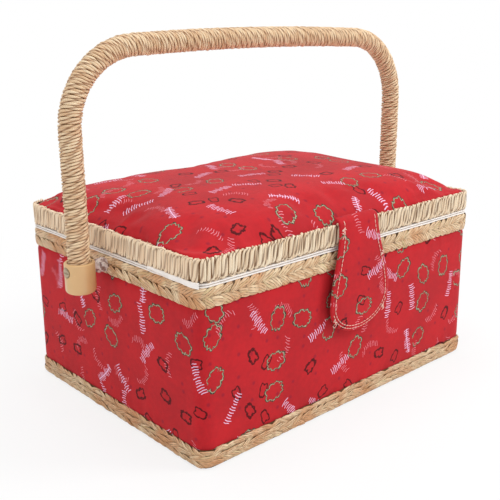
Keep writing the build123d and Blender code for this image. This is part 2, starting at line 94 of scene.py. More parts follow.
def place_points(piece, x, y, z):
    """Moves every point to a place of its own; each of the three may also be one number for all."""
    x, y, z = np.broadcast_arrays(x, y, z)
    move_points(piece, np.column_stack([x.ravel(), y.ravel(), z.ravel()]))


def named(name):
    """Names the primitive that was just added."""
    piece = bpy.context.active_object
    piece.name = name
    return piece


def modify(piece, kind, **settings):
    """Adds a modifier, sets it and applies it."""
    pick(piece)
    modifier = piece.modifiers.new(kind.title(), kind)
    for name, value in settings.items():
        setattr(modifier, name, value)
    bpy.ops.object.modifier_apply(modifier=modifier.name)
    return piece


def edit(piece, *steps):
    """Runs mesh operators on the whole piece in edit mode."""
    pick(piece)
    bpy.ops.object.mode_set(mode="EDIT")
    bpy.ops.mesh.select_all(action="SELECT")
    for step, settings in steps:
        getattr(bpy.ops.mesh, step)(**settings)
    bpy.ops.object.mode_set(mode="OBJECT")
    return piece


MERGE = ("remove_doubles", {"threshold": 0.02 * MM})
FACE_OUTWARDS = ("normals_make_consistent", {"inside": False})


def close_seams(piece):
    """Merges points that lie on each other and turns every face outwards."""
    return edit(piece, MERGE, FACE_OUTWARDS)


def smooth(piece, angle=50):
    pick(piece)
    bpy.ops.object.shade_smooth_by_angle(angle=radians(angle))
    return piece


def finish(piece, body, material, stands_for=()):
    """Gives a piece its material and the body that carries it."""
    piece.data.materials.clear()
    piece.data.materials.append(material)
    if body:
        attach(piece, body)
    if stands_for:
        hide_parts(*stands_for)
    return piece


def strip(name, length, width, steps_along, steps_across):
    """Flat grid from the origin along +X and +Y, with a UV map in 0 to 1."""
    bpy.ops.mesh.primitive_grid_add(x_subdivisions=steps_along, y_subdivisions=steps_across, size=1)
    piece = named(name)
    places = points_of(piece)
    place_points(piece, (places[:, 0] + 0.5) * length, (places[:, 1] + 0.5) * width, places[:, 2])
    return piece


def repeat(piece, count):
    """Copies a piece on the spot and returns its places as (copy, point, xyz).

    Each copy's UV map moves on by one."""
    modify(piece, "ARRAY", count=count, use_relative_offset=False, offset_u=1.0)
    return points_of(piece).reshape(count, -1, 3)


def scale_uv(piece, along, across):
    """Stretches a piece's UV map, to metres where it carries a printed or woven pattern."""
    layer = piece.data.uv_layers[0].data
    found = np.zeros(len(layer) * 2)
    layer.foreach_get("uv", found)
    layer.foreach_set("uv", (found.reshape(-1, 2) * (along, across)).ravel())


def flat_uv(piece, flat):
    """Gives a piece a UV map in metres from one flat place for each of its points."""
    if not piece.data.uv_layers:
        piece.data.uv_layers.new(name="UVMap")
    corners = np.zeros(len(piece.data.loops), int)
    piece.data.loops.foreach_get("vertex_index", corners)
    piece.data.uv_layers[0].data.foreach_set("uv", np.asarray(flat)[corners].ravel())


def run_along(line):
    """Length of a line of points up to each of them."""
    return np.concatenate([[0], np.cumsum(np.linalg.norm(np.diff(line, axis=0), axis=1))])


def squared_off(wave, power):
    """Pushes a sine or cosine out towards 1 and keeps its sign."""
    return np.sign(wave) * np.abs(wave) ** power


def waver(place, span, waves, seed):
    """Smooth uneven wave of about -1 to 1 that repeats after `span`."""
    draw = np.random.default_rng(seed)
    orders = range(max(1, waves // 2), 2 * waves)
    total = sum(np.sin(2 * pi * n * place / span + draw.uniform(0, 2 * pi)) for n in orders)
    return total / len(orders) ** 0.5


# ---- Paths ----
def trace(name, start, heading, moves, closed=False):
    """Flat path of straight runs, (length, 0), and bends, (radius, degrees to the left)."""
    place, stations = Vector(start), []
    for size, turn in moves:
        forward = Vector((cos(radians(heading)), sin(radians(heading))))
        reach = size / 3 if turn == 0 else 4 / 3 * tan(radians(abs(turn)) / 4) * size
        stations.append((place.copy(), forward, reach))
        if turn == 0:
            place += forward * size
        else:
            spoke = Vector((-forward.y, forward.x)) * (size if turn > 0 else -size)
            place = place + spoke - Matrix.Rotation(radians(turn), 2) @ spoke
            heading += turn
    forward = Vector((cos(radians(heading)), sin(radians(heading))))
    if not closed:
        stations.append((place.copy(), forward, 0.0))
    curve = bpy.data.curves.new(name, "CURVE")
    curve.dimensions = "2D"
    spline = curve.splines.new("BEZIER")
    spline.bezier_points.add(len(stations) - 1)
    spline.use_cyclic_u = closed
    spline.resolution_u = 48
    for i, point in enumerate(spline.bezier_points):
        place, forward, reach = stations[i]
        back = stations[i - 1][2]
        point.co = (*place, 0)
        point.handle_right = (*(place + forward * reach), 0)
        point.handle_left = (*(place - forward * back), 0)
    path = bpy.data.objects.new(name, curve)
    bpy.context.scene.collection.objects.link(path)
    return path


def rim_line():
    """The rim's outline, clockwise from above."""
    run_x, run_y = LENGTH - 2 * RIM_CORNER, DEPTH - 2 * RIM_CORNER
    corner = (RIM_CORNER, -90)
    moves = [(run_x / 2, 0), corner, (run_y, 0), corner, (run_x, 0), corner, (run_y, 0), corner]
    return trace("rim_line", (0, DEPTH / 2), 0, moves + [(run_x / 2, 0)], closed=True)


def bend_along(piece, path):
    """Bends a piece that lies along +X to follow a path."""
    return modify(piece, "CURVE", object=path, deform_axis="POS_X")


def bend_round(piece, path):
    """Bends a piece round the rim line, from the far left corner on: +Y points inwards.

    Seen from above, +X runs counterclockwise: down the left side, along the front, and on round."""
    places = points_of(piece)
    place_points(piece, OUTLINE - places[:, 0], -places[:, 1], places[:, 2])
    return bend_along(piece, path)


# ---- Finishes ----
class Finish:
    """A material under construction. Each call adds a node and returns the socket to use next."""

    def __init__(self, name, roughness=0.6, **sockets):
        self.material = bpy.data.materials.new(name)
        self.material.use_nodes = True
        self.tree = self.material.node_tree
        self.surface = self.tree.nodes["Principled BSDF"]
        self.surface.inputs["Roughness"].default_value = roughness
        for socket, value in sockets.items():
            self.surface.inputs[socket.replace("_", " ")].default_value = value

    def put(self, socket, value):
        if isinstance(value, bpy.types.NodeSocket):
            self.tree.links.new(value, socket)
        elif value is not None:
            if isinstance(value, tuple) and len(value) == 3 and socket.type == "RGBA":
                value = (*value, 1)
            socket.default_value = value

    def node(self, kind, inputs=(), **settings):
        node = self.tree.nodes.new(kind)
        for name, value in settings.items():
            setattr(node, name, value)
        for key, value in dict(inputs).items():
            self.put(node.inputs[key], value)
        return node

    def math(self, operation, first, second=None, third=None):
        inputs = {0: first, 1: second, 2: third}
        return self.node("ShaderNodeMath", inputs, operation=operation).outputs[0]

    def times(self, first, second):
        return self.math("MULTIPLY", first, second)

    def times_plus(self, first, second, third):
        return self.math("MULTIPLY_ADD", first, second, third)

    def plus(self, first, second):
        return self.math("ADD", first, second)

    def minus(self, first, second):
        return self.math("SUBTRACT", first, second)

    def away_from(self, value, level=None):
        """Distance of a value from a level, or from 0."""
        return self.math("ABSOLUTE", value if level is None else self.minus(value, level))

    def vector(self, operation, first, second=None, **sockets):
        inputs = {0: first, 1: second, **sockets}
        return self.node("ShaderNodeVectorMath", inputs, operation=operation).outputs

    def length(self, vector):
        return self.vector("LENGTH", vector)["Value"]

    def between(self, value, low, high, to_low=0.0, to_high=1.0):
        """Smooth step of a value between two levels."""
        inputs = {"Value": value, "From Min": low, "From Max": high}
        inputs.update({"To Min": to_low, "To Max": to_high})
        return self.node("ShaderNodeMapRange", inputs, interpolation_type="SMOOTHSTEP").outputs[0]

    def mix(self, factor, first, second):
        inputs = {"Factor": factor, 6: first, 7: second}
        return self.node("ShaderNodeMix", inputs, data_type="RGBA").outputs[2]

    def uv(self):
        return self.node("ShaderNodeUVMap").outputs[0]

    def place(self):
        return self.node("ShaderNodeTexCoord").outputs["Object"]

    def parts(self, vector):
        return self.node("ShaderNodeSeparateXYZ", {0: vector}).outputs

    def join(self, x, y, z=0.0):
        return self.node("ShaderNodeCombineXYZ", {0: x, 1: y, 2: z}).outputs[0]

    def noise(self, vector, scale, detail=3.0, roughness=0.5):
        inputs = {"Vector": vector, "Scale": scale, "Detail": detail, "Roughness": roughness}
        return self.node("ShaderNodeTexNoise", inputs).outputs["Fac"]

    def chance(self, vector):
        """Three random numbers for each whole-number place."""
        return self.parts(self.node("ShaderNodeTexWhiteNoise", {"Vector": vector}).outputs["Color"])

    def colour(self, value):
        self.put(self.surface.inputs["Base Color"], value)

    def rough(self, value):
        self.put(self.surface.inputs["Roughness"], value)

    def bump(self, height, distance, strength=1.0):
        """Raises the surface by a height in 0 to 1, times a distance in metres."""
        inputs = {"Height": height, "Distance": distance, "Strength": strength}
        node = self.node("ShaderNodeBump", inputs)
        self.put(self.surface.inputs["Normal"], node.outputs[0])


def srgb(red, green, blue):
    """Linear colour of a display colour in 0 to 255."""
    return tuple(((c / 255 + 0.055) / 1.055) ** 2.4 for c in (red, green, blue))


def darker(colour, share):
    return tuple(c * share for c in colour)


def weave(cloth, place, pitch):
    """Plain weave height: warp and weft threads that pass over each other."""
    x, y, _ = cloth.parts(place)
    warp = cloth.math("SINE", cloth.times(x, 2 * pi / pitch))
    weft = cloth.math("SINE", cloth.times(y, 2 * pi / pitch))
    return cloth.times_plus(cloth.times(warp, weft), 0.5, 0.5)


RED = srgb(200, 34, 42)
DEEP_RED = srgb(168, 32, 40)
LEAF_INK = srgb(58, 60, 48)
LEAF_SHINE = srgb(174, 172, 142)
SEED_INK = srgb(82, 10, 18)
SPRIG_INK = srgb(244, 206, 238)
FAN_INK = srgb(246, 166, 182)
SMUDGE_INK = srgb(124, 24, 52)

# Each layer of the print: spacing, motif size, range of turn in radians, and a seed.
LEAF_LAYER = (29 * MM, 12 * MM, 5.5, 0.31)
FAN_LAYER = (30 * MM, 10 * MM, 6.0, 0.83)
SMUDGE_LAYER = (13 * MM, 2.2 * MM, 0.0, 1.7)
# Outlines: waist, lift, point, scallop and lobes, in motif sizes.
LEAF = (0.62, 0.16, 0.05, 0.15, 4.5)
SEED = (0.37, 0.16, 0.08, 0.07, 3.5)
BUD = (0.42, 0.17, 0.10, 0.07, 3.5)
# Shares of the cells that hold each motif, by their random number.
LEAVES, SEEDS, SPRIGS = (0.0, 0.34), (0.34, 0.64), (0.64, 1.0)
FANS, BUDS, STEMS, SMUDGES = (0.0, 0.45), (0.45, 0.7), (0.0, 0.25), (0.0, 0.4)


def scattered(cloth, place, layer):
    """Local place inside each scattered motif, in motif sizes, and the motif's random colour."""
    spacing, size, swing, seed = layer
    moved = cloth.vector("ADD", place, (seed, seed * 0.7, 0))[0]
    inputs = {"Vector": moved, "Scale": 1 / spacing, "Randomness": 0.62}
    cells = cloth.node("ShaderNodeTexVoronoi", inputs, voronoi_dimensions="2D").outputs
    away = cloth.vector("SUBTRACT", moved, cells["Position"])[0]
    luck = cloth.parts(cells["Color"])
    inputs = {"Vector": away, "Angle": cloth.times(cloth.minus(luck[2], 0.5), swing)}
    turned = cloth.node("ShaderNodeVectorRotate", inputs, rotation_type="Z_AXIS").outputs[0]
    return cloth.vector("SCALE", turned, Scale=1 / size)[0], luck


def off_outline(cloth, local, shape):
    """How far a place lies outside a closed outline: a rounded form with a point and scalloped sides."""
    waist, lift, point, scallop, lobes = shape
    x, y, _ = cloth.parts(local)
    x = cloth.times(x, cloth.times_plus(y, -0.3, 1.35))
    around = cloth.math("ARCTAN2", x, y)
    reach = cloth.length(cloth.join(x, y))
    radius = cloth.times_plus(cloth.math("COSINE", around), lift, waist)
    radius = cloth.times_plus(cloth.math("COSINE", cloth.times(around, 3.0)), point, radius)
    wave = cloth.away_from(cloth.math("SINE", cloth.times(around, lobes)))
    return cloth.minus(reach, cloth.times_plus(wave, scallop, radius))


def line_at(cloth, off, level, half):
    """Drawn line of a half width, where a distance reaches a level."""
    return cloth.between(cloth.away_from(off, level), half * 0.6, half, 1.0, 0.0)


def strokes(cloth, local, luck, count, width, lean, curl):
    """A row of short slanted strokes of uneven height, mirrored above and below the middle.

    Returns the strokes and the stem that runs along their middle."""
    x, y, _ = cloth.parts(local)
    y = cloth.times_plus(cloth.times(x, x), curl, y)
    up = cloth.away_from(y)
    across = cloth.times_plus(up, lean, x)
    lane = cloth.times(across, count / 2)
    number = cloth.math("FLOOR", lane)
    draw = cloth.chance(cloth.join(number, luck[0], cloth.math("SIGN", y)))
    shake = cloth.times_plus(draw[2], 0.3, -0.65)
    side = cloth.away_from(cloth.plus(cloth.math("FRACT", lane), shake))
    ink = cloth.between(side, width * 0.6, width, 1.0, 0.0)
    tall = cloth.times_plus(draw[1], 0.22, 0.13)
    ink = cloth.times(ink, cloth.between(cloth.minus(up, tall), -0.03, 0.03, 1.0, 0.0))
    inside = cloth.between(cloth.away_from(across), 0.93, 0.97, 1.0, 0.0)
    stem = cloth.times(cloth.between(up, 0.02, 0.045, 1.0, 0.0), inside)
    return cloth.times(ink, inside), stem


def drawn_if(cloth, ink, luck, shares):
    """Keeps a motif only where its cell's random number lies between two shares."""
    above = cloth.math("GREATER_THAN", luck, shares[0])
    below = cloth.math("LESS_THAN", luck, shares[1])
    return cloth.times(ink, cloth.times(above, below))


def printed_cotton():
    """Red cotton printed with outlined leaves and seeds, and with sprigs of short strokes."""
    sheen = {"Sheen_Weight": 0.12, "Sheen_Roughness": 0.35, "Specular_IOR_Level": 0.2}
    cloth = Finish("printed_cotton", 0.8, **sheen)
    place = cloth.uv()
    tone = cloth.plus(cloth.noise(place, 26.0), cloth.times(cloth.noise(place, 240.0, 2.0), 0.5))
    ground = cloth.mix(cloth.between(tone, 0.5, 1.0, 0.0, 0.6), RED, DEEP_RED)

    sideways = cloth.times(cloth.noise(place, 330.0, 1.0), 2.4 * MM)
    upwards = cloth.times(cloth.noise(place, 620.0, 1.0), 2.6 * MM)
    shaky = cloth.vector("ADD", place, cloth.join(sideways, upwards))[0]
    local, luck = scattered(cloth, shaky, LEAF_LAYER)
    off = off_outline(cloth, local, LEAF)
    leaf = drawn_if(cloth, line_at(cloth, off, 0.0, 0.105), luck[0], LEAVES)
    shine = drawn_if(cloth, line_at(cloth, off, -0.02, 0.042), luck[0], LEAVES)
    seed = line_at(cloth, off_outline(cloth, local, SEED), 0.0, 0.13)
    seed = drawn_if(cloth, seed, luck[0], SEEDS)
    local, luck = scattered(cloth, place, LEAF_LAYER)
    needles, stem = strokes(cloth, local, luck, 12, 0.2, 0.16, 0.08)
    stem = drawn_if(cloth, stem, luck[1], STEMS)
    sprig = drawn_if(cloth, cloth.math("MAXIMUM", needles, stem), luck[0], SPRIGS)

    local, luck = scattered(cloth, place, FAN_LAYER)
    fan = drawn_if(cloth, strokes(cloth, local, luck, 10, 0.12, 0.2, 0.5)[0], luck[0], FANS)
    bud = drawn_if(cloth, line_at(cloth, off_outline(cloth, local, BUD), 0.0, 0.1), luck[0], BUDS)
    local, luck = scattered(cloth, place, SMUDGE_LAYER)
    smudge = cloth.between(cloth.length(local), 0.2, 1.0, 1.0, 0.0)
    smudge = drawn_if(cloth, smudge, luck[0], SMUDGES)

    worn = cloth.between(cloth.noise(place, 900.0, 2.0), 0.3, 0.5, 0.65, 1.0)
    colour = ground
    seed = cloth.math("MAXIMUM", seed, bud)
    for drawn, share, ink in (
        (smudge, 0.5, SMUDGE_INK), (fan, 0.8, FAN_INK), (seed, worn, SEED_INK),
        (leaf, worn, LEAF_INK), (shine, worn, LEAF_SHINE), (sprig, worn, SPRIG_INK),
    ):
        colour = cloth.mix(cloth.times(drawn, share), colour, ink)
    cloth.colour(colour)
    cloth.bump(weave(cloth, place, 0.55 * MM), 0.05 * MM, 0.5)
    return cloth.material


def plain_cotton(name, colour, thread=0.6):
    """Woven cotton of one colour, with faint uneven threads of a width in mm."""
    cloth = Finish(name, 0.85, Sheen_Weight=0.1)
    place = cloth.place()
    tone = cloth.between(cloth.noise(place, 90.0, 4.0), 0.3, 0.7)
    cloth.colour(cloth.mix(tone, colour, darker(colour, 0.92)))
    cloth.bump(cloth.noise(place, 1.0 / (thread * MM), 2.0), 0.06 * MM, 0.6)
    return cloth.material


GREEN_STRAW = srgb(196, 184, 120)
# Brown for random patches of straw and for the painted shade on its left side and foot.
BROWN_STRAW_AND_SHADE = srgb(212, 138, 76)
# Colour of the painted highlight at the rim cord's left end.
HIGHLIGHT_CORD = srgb(255, 222, 188)
CORD_ARC = 250  # degrees of each cord's own round that are modelled; the rest lies against the core


def straw_finish(name, light, dark, gap):
    """Satin straw: each leaf is a bundle of four straws of their own tone, with painted shade where they
    meet and at the leaf's ends.

    The UV map's first number counts the leaves and runs across each; the second runs along it."""
    straw = Finish(name, 0.42)
    across, along, _ = straw.parts(straw.uv())
    lane = straw.times(across, 4.0)
    draw = straw.chance(straw.join(straw.math("FLOOR", lane), 3.0))
    leaf = straw.chance(straw.join(straw.math("FLOOR", across), 7.0))
    lines = straw.noise(straw.join(straw.times(lane, 5.0), straw.times(along, 2.5)), 1.0, 2.0)
    tone = straw.times_plus(draw[0], 0.45, straw.times(leaf[0], 0.2))
    tone = straw.times_plus(straw.between(lines, 0.35, 0.65), 0.45, tone)
    colour = straw.mix(tone, dark, light)
    colour = straw.mix(straw.between(draw[1], 0.8, 0.9, 0.0, 0.3), colour, GREEN_STRAW)

    # Painted shade: more brown on the left side and at the foot, where less light falls, added to random
    # brown patches.
    left, _, height = straw.parts(straw.place())
    left_shade = straw.between(left, -0.152, -0.144, 0.06, 0.0)
    foot_shade = straw.between(height, 0.01, 0.02, 0.06, 0.0)
    painted_shade = straw.math("MAXIMUM", left_shade, foot_shade)
    toasted_and_shade = straw.plus(straw.noise(straw.place(), 38.0, 2.0), painted_shade)
    colour = straw.mix(straw.between(toasted_and_shade, 0.46, 0.66, 0.0, 0.6), colour, BROWN_STRAW_AND_SHADE)

    # Painted shade: dark in broken flecks where the straws meet, and at each leaf's ends, which dive under
    # its neighbours.
    side = straw.away_from(straw.math("FRACT", lane), 0.5)
    fleck = straw.noise(straw.join(lane, straw.times(along, 3.0)), 1.3, 1.0)
    seam = straw.times(straw.between(side, 0.32, 0.48), straw.between(fleck, 0.4, 0.58, 0.15, 0.95))
    colour = straw.mix(seam, colour, gap)
    tip = straw.between(straw.away_from(along, 0.5), 0.36, 0.5, 0.0, 0.7)
    straw.colour(straw.mix(tip, colour, gap))
    straw.rough(straw.between(lines, 0.3, 0.7, 0.28, 0.5))
    straw.bump(straw.minus(lines, side), 0.4 * MM, 0.9)
    return straw.material


def paper_cord_finish(name, light, dark, gap, turn_shade=0.6, left_highlight=0.0):
    """Two-strand paper cord with painted shade where the strands meet and between the turns, so each
    strand's crest reads light.

    The UV map's first number counts the turns and runs across each; the second counts the strands.
    One setting says how dark the painted shade between the turns gets, and another how pale the painted
    highlight makes the left end."""
    cord = Finish(name, 0.52)
    across, strands, _ = cord.parts(cord.uv())
    side = cord.minus(cord.math("FRACT", across), 0.5)
    slant = cord.minus(cord.times(side, CORD_ARC / 180), strands)
    number = cord.math("FLOOR", cord.plus(slant, 0.5))
    luck = cord.chance(cord.join(number, cord.math("FLOOR", across)))
    lines = cord.noise(cord.join(cord.times(slant, 16.0), cord.times(strands, 2.0)), 1.0, 2.0)
    tone = cord.times_plus(luck[0], 0.5, cord.times(cord.between(lines, 0.3, 0.7), 0.5))
    colour = cord.mix(tone, dark, light)
    # Painted shade in the trough where the two strands meet.
    crest = cord.math("COSINE", cord.times(slant, 2 * pi))
    colour = cord.mix(cord.between(crest, -1.0, -0.1, 0.75, 0.0), colour, gap)
    # Painted shade at the sides of each turn, where it meets the next.
    edge = cord.between(cord.away_from(side), 0.62 - 0.5 * turn_shade, 0.46, 0.0, turn_shade)
    colour = cord.mix(edge, colour, gap)
    # Painted highlight: paler towards the left end.
    if left_highlight:
        left = cord.parts(cord.place())[0]
        colour = cord.mix(cord.between(left, -0.156, -0.146, left_highlight, 0.0), colour, HIGHLIGHT_CORD)
    cord.colour(colour)
    cord.bump(lines, 0.3 * MM, 0.7)
    return cord.material


# ---- Walls ----
COVER_TOP_INSET = 1.5 * MM
COVER_FOOT_INSET = 0.7 * MM
COVER_PUCKER = 0.35 * MM


def wall_cover(path, cotton):
    """Cotton stretched over the padded walls, tucked in behind both braids."""
    height = TOP_BRAID_LOW.z - BASE_BRAID_HIGH.z
    cloth = strip("wall_cover", OUTLINE, height, 300, 30)
    scale_uv(cloth, OUTLINE, height)
    along, rise = points_of(cloth)[:, :2].T
    share, from_top = rise / height, height - rise
    inset = COVER_FOOT_INSET * (1 - share) + COVER_TOP_INSET * share
    tuck = 0.5 * MM * np.exp(-rise / (1.2 * MM)) + 1.2 * MM * np.exp(-from_top / (1.6 * MM))
    slack = 0.25 * MM * waver(along, OUTLINE, 9, 1) * np.sin(pi * share)
    pucker = COVER_PUCKER * waver(along, OUTLINE, 70, 2) * np.exp(-from_top / (7 * MM))
    pucker += COVER_PUCKER * waver(along, OUTLINE, 60, 3) * np.exp(-rise / (8 * MM))
    place_points(cloth, along, inset + tuck - slack - pucker, BASE_BRAID_HIGH.z + rise)
    bend_round(cloth, path)
    close_seams(cloth)
    smooth(cloth, 80)
    finish(cloth, "box", cotton, ["outer_cover"])
    return cloth


# ---- Straw braids ----
STRAW_EDGE_TURN = 1.5 * MM
TOP_LEAF = (15 * MM, 7.8 * MM)
TOP_LEAF_PITCH = 7.6 * MM
TOP_LEAF_SLANT = 30
BASE_LEAF_LENGTH = 16 * MM
# Rows of the base braid: foot and top as shares of its height, slant in degrees, then each leaf's
# width, the pitch, and how far the row stands out over the braid's top.
BASE_ROWS = (
    (0, 0.5, -15, 5.4 * MM, 8.2 * MM, 0),
    (0.26, 0.8, 14, 5.6 * MM, 7.4 * MM, 0),
    (0.66, 1, -8, 4.6 * MM, 7 * MM, 0.5 * MM),
)


def leaf_row(band, slant, leaf, pitch, edge):
    """One row of slanted straw leaves, laid like shingles; band is (low, high, inset, thickness).

    Each leaf is a bundle of four straws whose two ends dive under its neighbours. The row turns
    in towards the wall at the height of the braid's edge, if it has one."""
    low, high, inset, thick = band
    count = round(OUTLINE / pitch)
    pitch = OUTLINE / count
    piece = strip("leaf_row", 1, 1, 12, 6)
    base = points_of(piece)
    across, along = base[:, 0] * 2 - 1, base[:, 1] * 2 - 1
    side = across * leaf[1] / 2 * (1 - 0.5 * np.abs(along) ** 2.5)
    run = along * leaf[0] / 2
    bundle = 0.5 + 0.18 * np.abs(np.cos(2 * pi * across)) + 0.32 * (1 - across**2)
    height = bundle * (1 - 0.7 * np.abs(along) ** 4) + 0.25 * across
    repeat(piece, count)
    lean = np.radians(slant + rng.normal(0, 11, (count, 1)))
    grow = rng.uniform(0.86, 1.12, (count, 1))
    start = (np.arange(count)[:, None] + 0.5 + rng.uniform(-0.14, 0.14, (count, 1))) * pitch
    x = start + grow * (run * np.cos(lean) - side * np.sin(lean))
    z = (low + high) / 2 + grow * (run * np.sin(lean) + side * np.cos(lean))
    z = np.clip(z, low, high)
    turned = 0
    if edge is not None:
        turned = STRAW_EDGE_TURN * np.clip(1 - np.abs(edge - z) / (2 * MM), 0, 1) ** 2
    y = inset + thick + turned - thick * height * rng.uniform(0.76, 1.14, (count, 1))
    place_points(piece, x, y, z)
    return piece


def join_all(name, pieces):
    bpy.ops.object.select_all(action="DESELECT")
    for piece in pieces:
        piece.select_set(True)
    bpy.context.view_layer.objects.active = pieces[0]
    bpy.ops.object.join()
    pieces[0].name = name
    return pieces[0]


def shade_band(name, low, high, inset, path, material):
    """Dark band behind a braid, seen only in the gaps, where it stands for the shade between the leaves.
    """
    band = strip(name, OUTLINE, high - low, 240, 4)
    along, rise, _ = points_of(band).T
    bulge = np.clip(np.sin(pi * rise / (high - low)), 0, 1) ** 0.4
    place_points(band, along, inset + 1.2 * MM * (1 - bulge), low + rise)
    bend_round(band, path)
    close_seams(band)
    smooth(band)
    return finish(band, "box", material)


def braid(name, rows, path, straw, node):
    """Joins rows of leaves into one braid and lays it round the box."""
    piece = join_all(name, rows)
    bend_round(piece, path)
    smooth(piece, 70)
    return finish(piece, "box", straw, [node])


def top_braid(path, straw, shade):
    """Herringbone plait round the top edge, scalloped along both its edges."""
    low, high = TOP_BRAID_LOW.z, TOP_BRAID_HIGH.z
    middle, lap = (low + high) / 2, 1.1 * MM
    upper = (middle - lap, high + 0.3 * MM, 0.1 * MM, 2 * MM)
    lower = (low - 0.3 * MM, middle + lap, 0, 2 * MM)
    rows = [leaf_row(upper, TOP_LEAF_SLANT, TOP_LEAF, TOP_LEAF_PITCH, high),
            leaf_row(lower, -TOP_LEAF_SLANT, TOP_LEAF, TOP_LEAF_PITCH, low - MM)]
    braid("straw_top_braid", rows, path, straw, "top_braid")
    shade_band("top_braid_backing", low + 0.4 * MM, high - 0.3 * MM, 1.2 * MM, path, shade)


def base_braid(path, straw, shade):
    """Plait laid on edge round the foot: long, slightly slanted leaves."""
    low, high = BASE_BRAID_LOW.z, BASE_BRAID_HIGH.z
    out, tall = BASE_BRAID_LOW.x - RIM_LOW.x, high - low
    rows = []
    for (foot, top, slant, wide, pitch, past), edge in zip(BASE_ROWS, (low, None, high + 0.5 * MM)):
        band = (low + foot * tall, low + top * tall + past, out, 1.9 * MM)
        rows.append(leaf_row(band, slant, (BASE_LEAF_LENGTH, wide), pitch, edge))
    braid("straw_base_braid", rows, path, straw, "base_braid")
    shade_band("base_braid_backing", low, high, out + 1.4 * MM, path, shade)


# ---- Lid rim ----
RIM_CORD_PITCH = 2.95 * MM
HANDLE_CORD_PITCH = 2.35 * MM
CORD_FULLNESS = 0.58  # half a cord's thickness, as a share of the pitch of its turns
RIM_SQUARENESS = 0.42  # lower is squarer


def rim_cord(path, cord):
    """Two-strand cord laid turn by turn over the rim board, each turn a little different."""
    count = round(OUTLINE / RIM_CORD_PITCH)
    pitch = OUTLINE / count
    turn = strip("rim_cord", 1, 1, 7, 11)
    base = points_of(turn)
    side, way = radians(CORD_ARC) * (base[:, 0] - 0.5), base[:, 1]
    repeat(turn, count)

    def each(least, most):
        """A random number for each turn."""
        return rng.uniform(least, most, (count, 1))

    strands = each(0, 1) + way * each(2.0, 3.2)
    thick = CORD_FULLNESS * pitch * each(0.88, 1.08)
    thick = thick * (1 + 0.14 * np.sin(2 * pi * (way * each(0.7, 1.3) + each(0, 1))))
    reach = thick * (0.87 + 0.13 * np.cos(2 * (side - pi * strands)))
    sink = CORD_FULLNESS * pitch - reach * np.cos(side) + each(-0.3, 0.3) * MM
    sink = np.maximum(sink, -0.25 * MM)
    lean, bow, sway = (each(-far, far) * MM for far in (1.4, 0.8, 0.7))
    centre = (np.arange(count)[:, None] + 0.5) * pitch
    # The left side's turns are laid more evenly; those along the front lean further.
    even = np.where(centre < DEPTH - 2 * RIM_CORNER, 0.45, 1.0)
    lean, bow, sway = lean * even, bow * even, sway * even
    front = DEPTH + LENGTH / 2 - 3 * RIM_CORNER + pi * RIM_CORNER
    lean += 0.3 * MM + 2.8 * MM * np.exp(-(((centre - front) / (0.46 * LENGTH)) ** 6))
    x = centre + reach * np.sin(side)
    x = x + lean * (way - 0.5) + bow * np.sin(pi * way) + sway * np.sin(2 * pi * way)
    angle = radians(-125) + radians(260) * way
    out, up = squared_off(np.cos(angle), RIM_SQUARENESS), squared_off(np.sin(angle), RIM_SQUARENESS)
    half_deep, half_tall = 2.1 * MM, (RIM_HIGH.z - RIM_LOW.z) / 2
    y = half_deep - (half_deep - sink) * out
    z = (RIM_LOW.z + RIM_HIGH.z) / 2 + (half_tall - sink) * up
    # The rim stands up a little at its far left corner.
    from_corner = np.minimum(centre, OUTLINE - centre)
    z += 1.6 * MM * np.exp(-((from_corner / (26 * MM)) ** 2)) * np.clip(up, 0, 1)
    place_points(turn, x, y, z)
    number = np.arange(count)[:, None] + base[:, 0] * 0.998 + 0.001
    flat_uv(turn, np.stack([number, strands], axis=2).reshape(-1, 2))
    bend_round(turn, path)
    smooth(turn, 80)
    return finish(turn, "lid", cord, ["lid_rim_winding"])


# ---- Edging tapes ----
TAPE_REACH = 5.6 * MM
TAPE_END = 54 * MM


def tape(name, node, path, cloth, body):
    """Folded tape that shows as a slightly wavy off-white line."""
    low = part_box(node)[0]
    inset = low.x - RIM_LOW.x
    piece = strip(name, OUTLINE, 1, 360, 8)
    scale_uv(piece, OUTLINE, TAPE_REACH)
    along, across, _ = points_of(piece).T
    angle = radians(100) - radians(200) * across
    wave = 0.16 * MM * waver(along, OUTLINE, 40, len(name))
    y = inset + wave + 1.2 * MM * (1 - squared_off(np.cos(angle), 0.5))
    y = np.where((across < 0.07) | (across > 0.93), inset + TAPE_REACH, y)
    place_points(piece, along, y, low.z + 0.62 * MM - 0.56 * MM * squared_off(np.sin(angle), 0.5))
    bend_round(piece, path)
    close_seams(piece)
    smooth(piece, 60)
    finish(piece, body, cloth, [node])
    return piece


def tape_end(path, cloth):
    """Cut end of the tape, turned over both edges just before the near left corner."""
    piece = strip("tape_end", TAPE_END, 1, 60, 12)
    scale_uv(piece, TAPE_END, 4 * MM)
    run, across, _ = points_of(piece).T
    share = run / TAPE_END
    angle = radians(90) - radians(180) * across
    half = (0.7 + 1.1 * share**1.4) * MM
    lift = (0.25 + 0.9 * share**6) * MM
    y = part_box("lid_edging")[0].x - RIM_LOW.x + 0.5 * MM - lift - 1.1 * MM * np.abs(np.cos(angle)) ** 0.4
    z = RIM_LOW.z + 0.5 * MM - half * (1 - squared_off(np.sin(angle), 0.6))
    z += 0.12 * MM * np.sin(share * 23)
    corner_arc = RIM_CORNER * pi / 2
    along = DEPTH - 2 * RIM_CORNER + 1.5 * corner_arc + run - TAPE_END
    place_points(piece, along, y, z)
    modify(piece, "SOLIDIFY", thickness=0.4 * MM, offset=-1)
    bend_round(piece, path)
    edit(piece, FACE_OUTWARDS)
    smooth(piece, 60)
    finish(piece, "lid", cloth)
    return piece


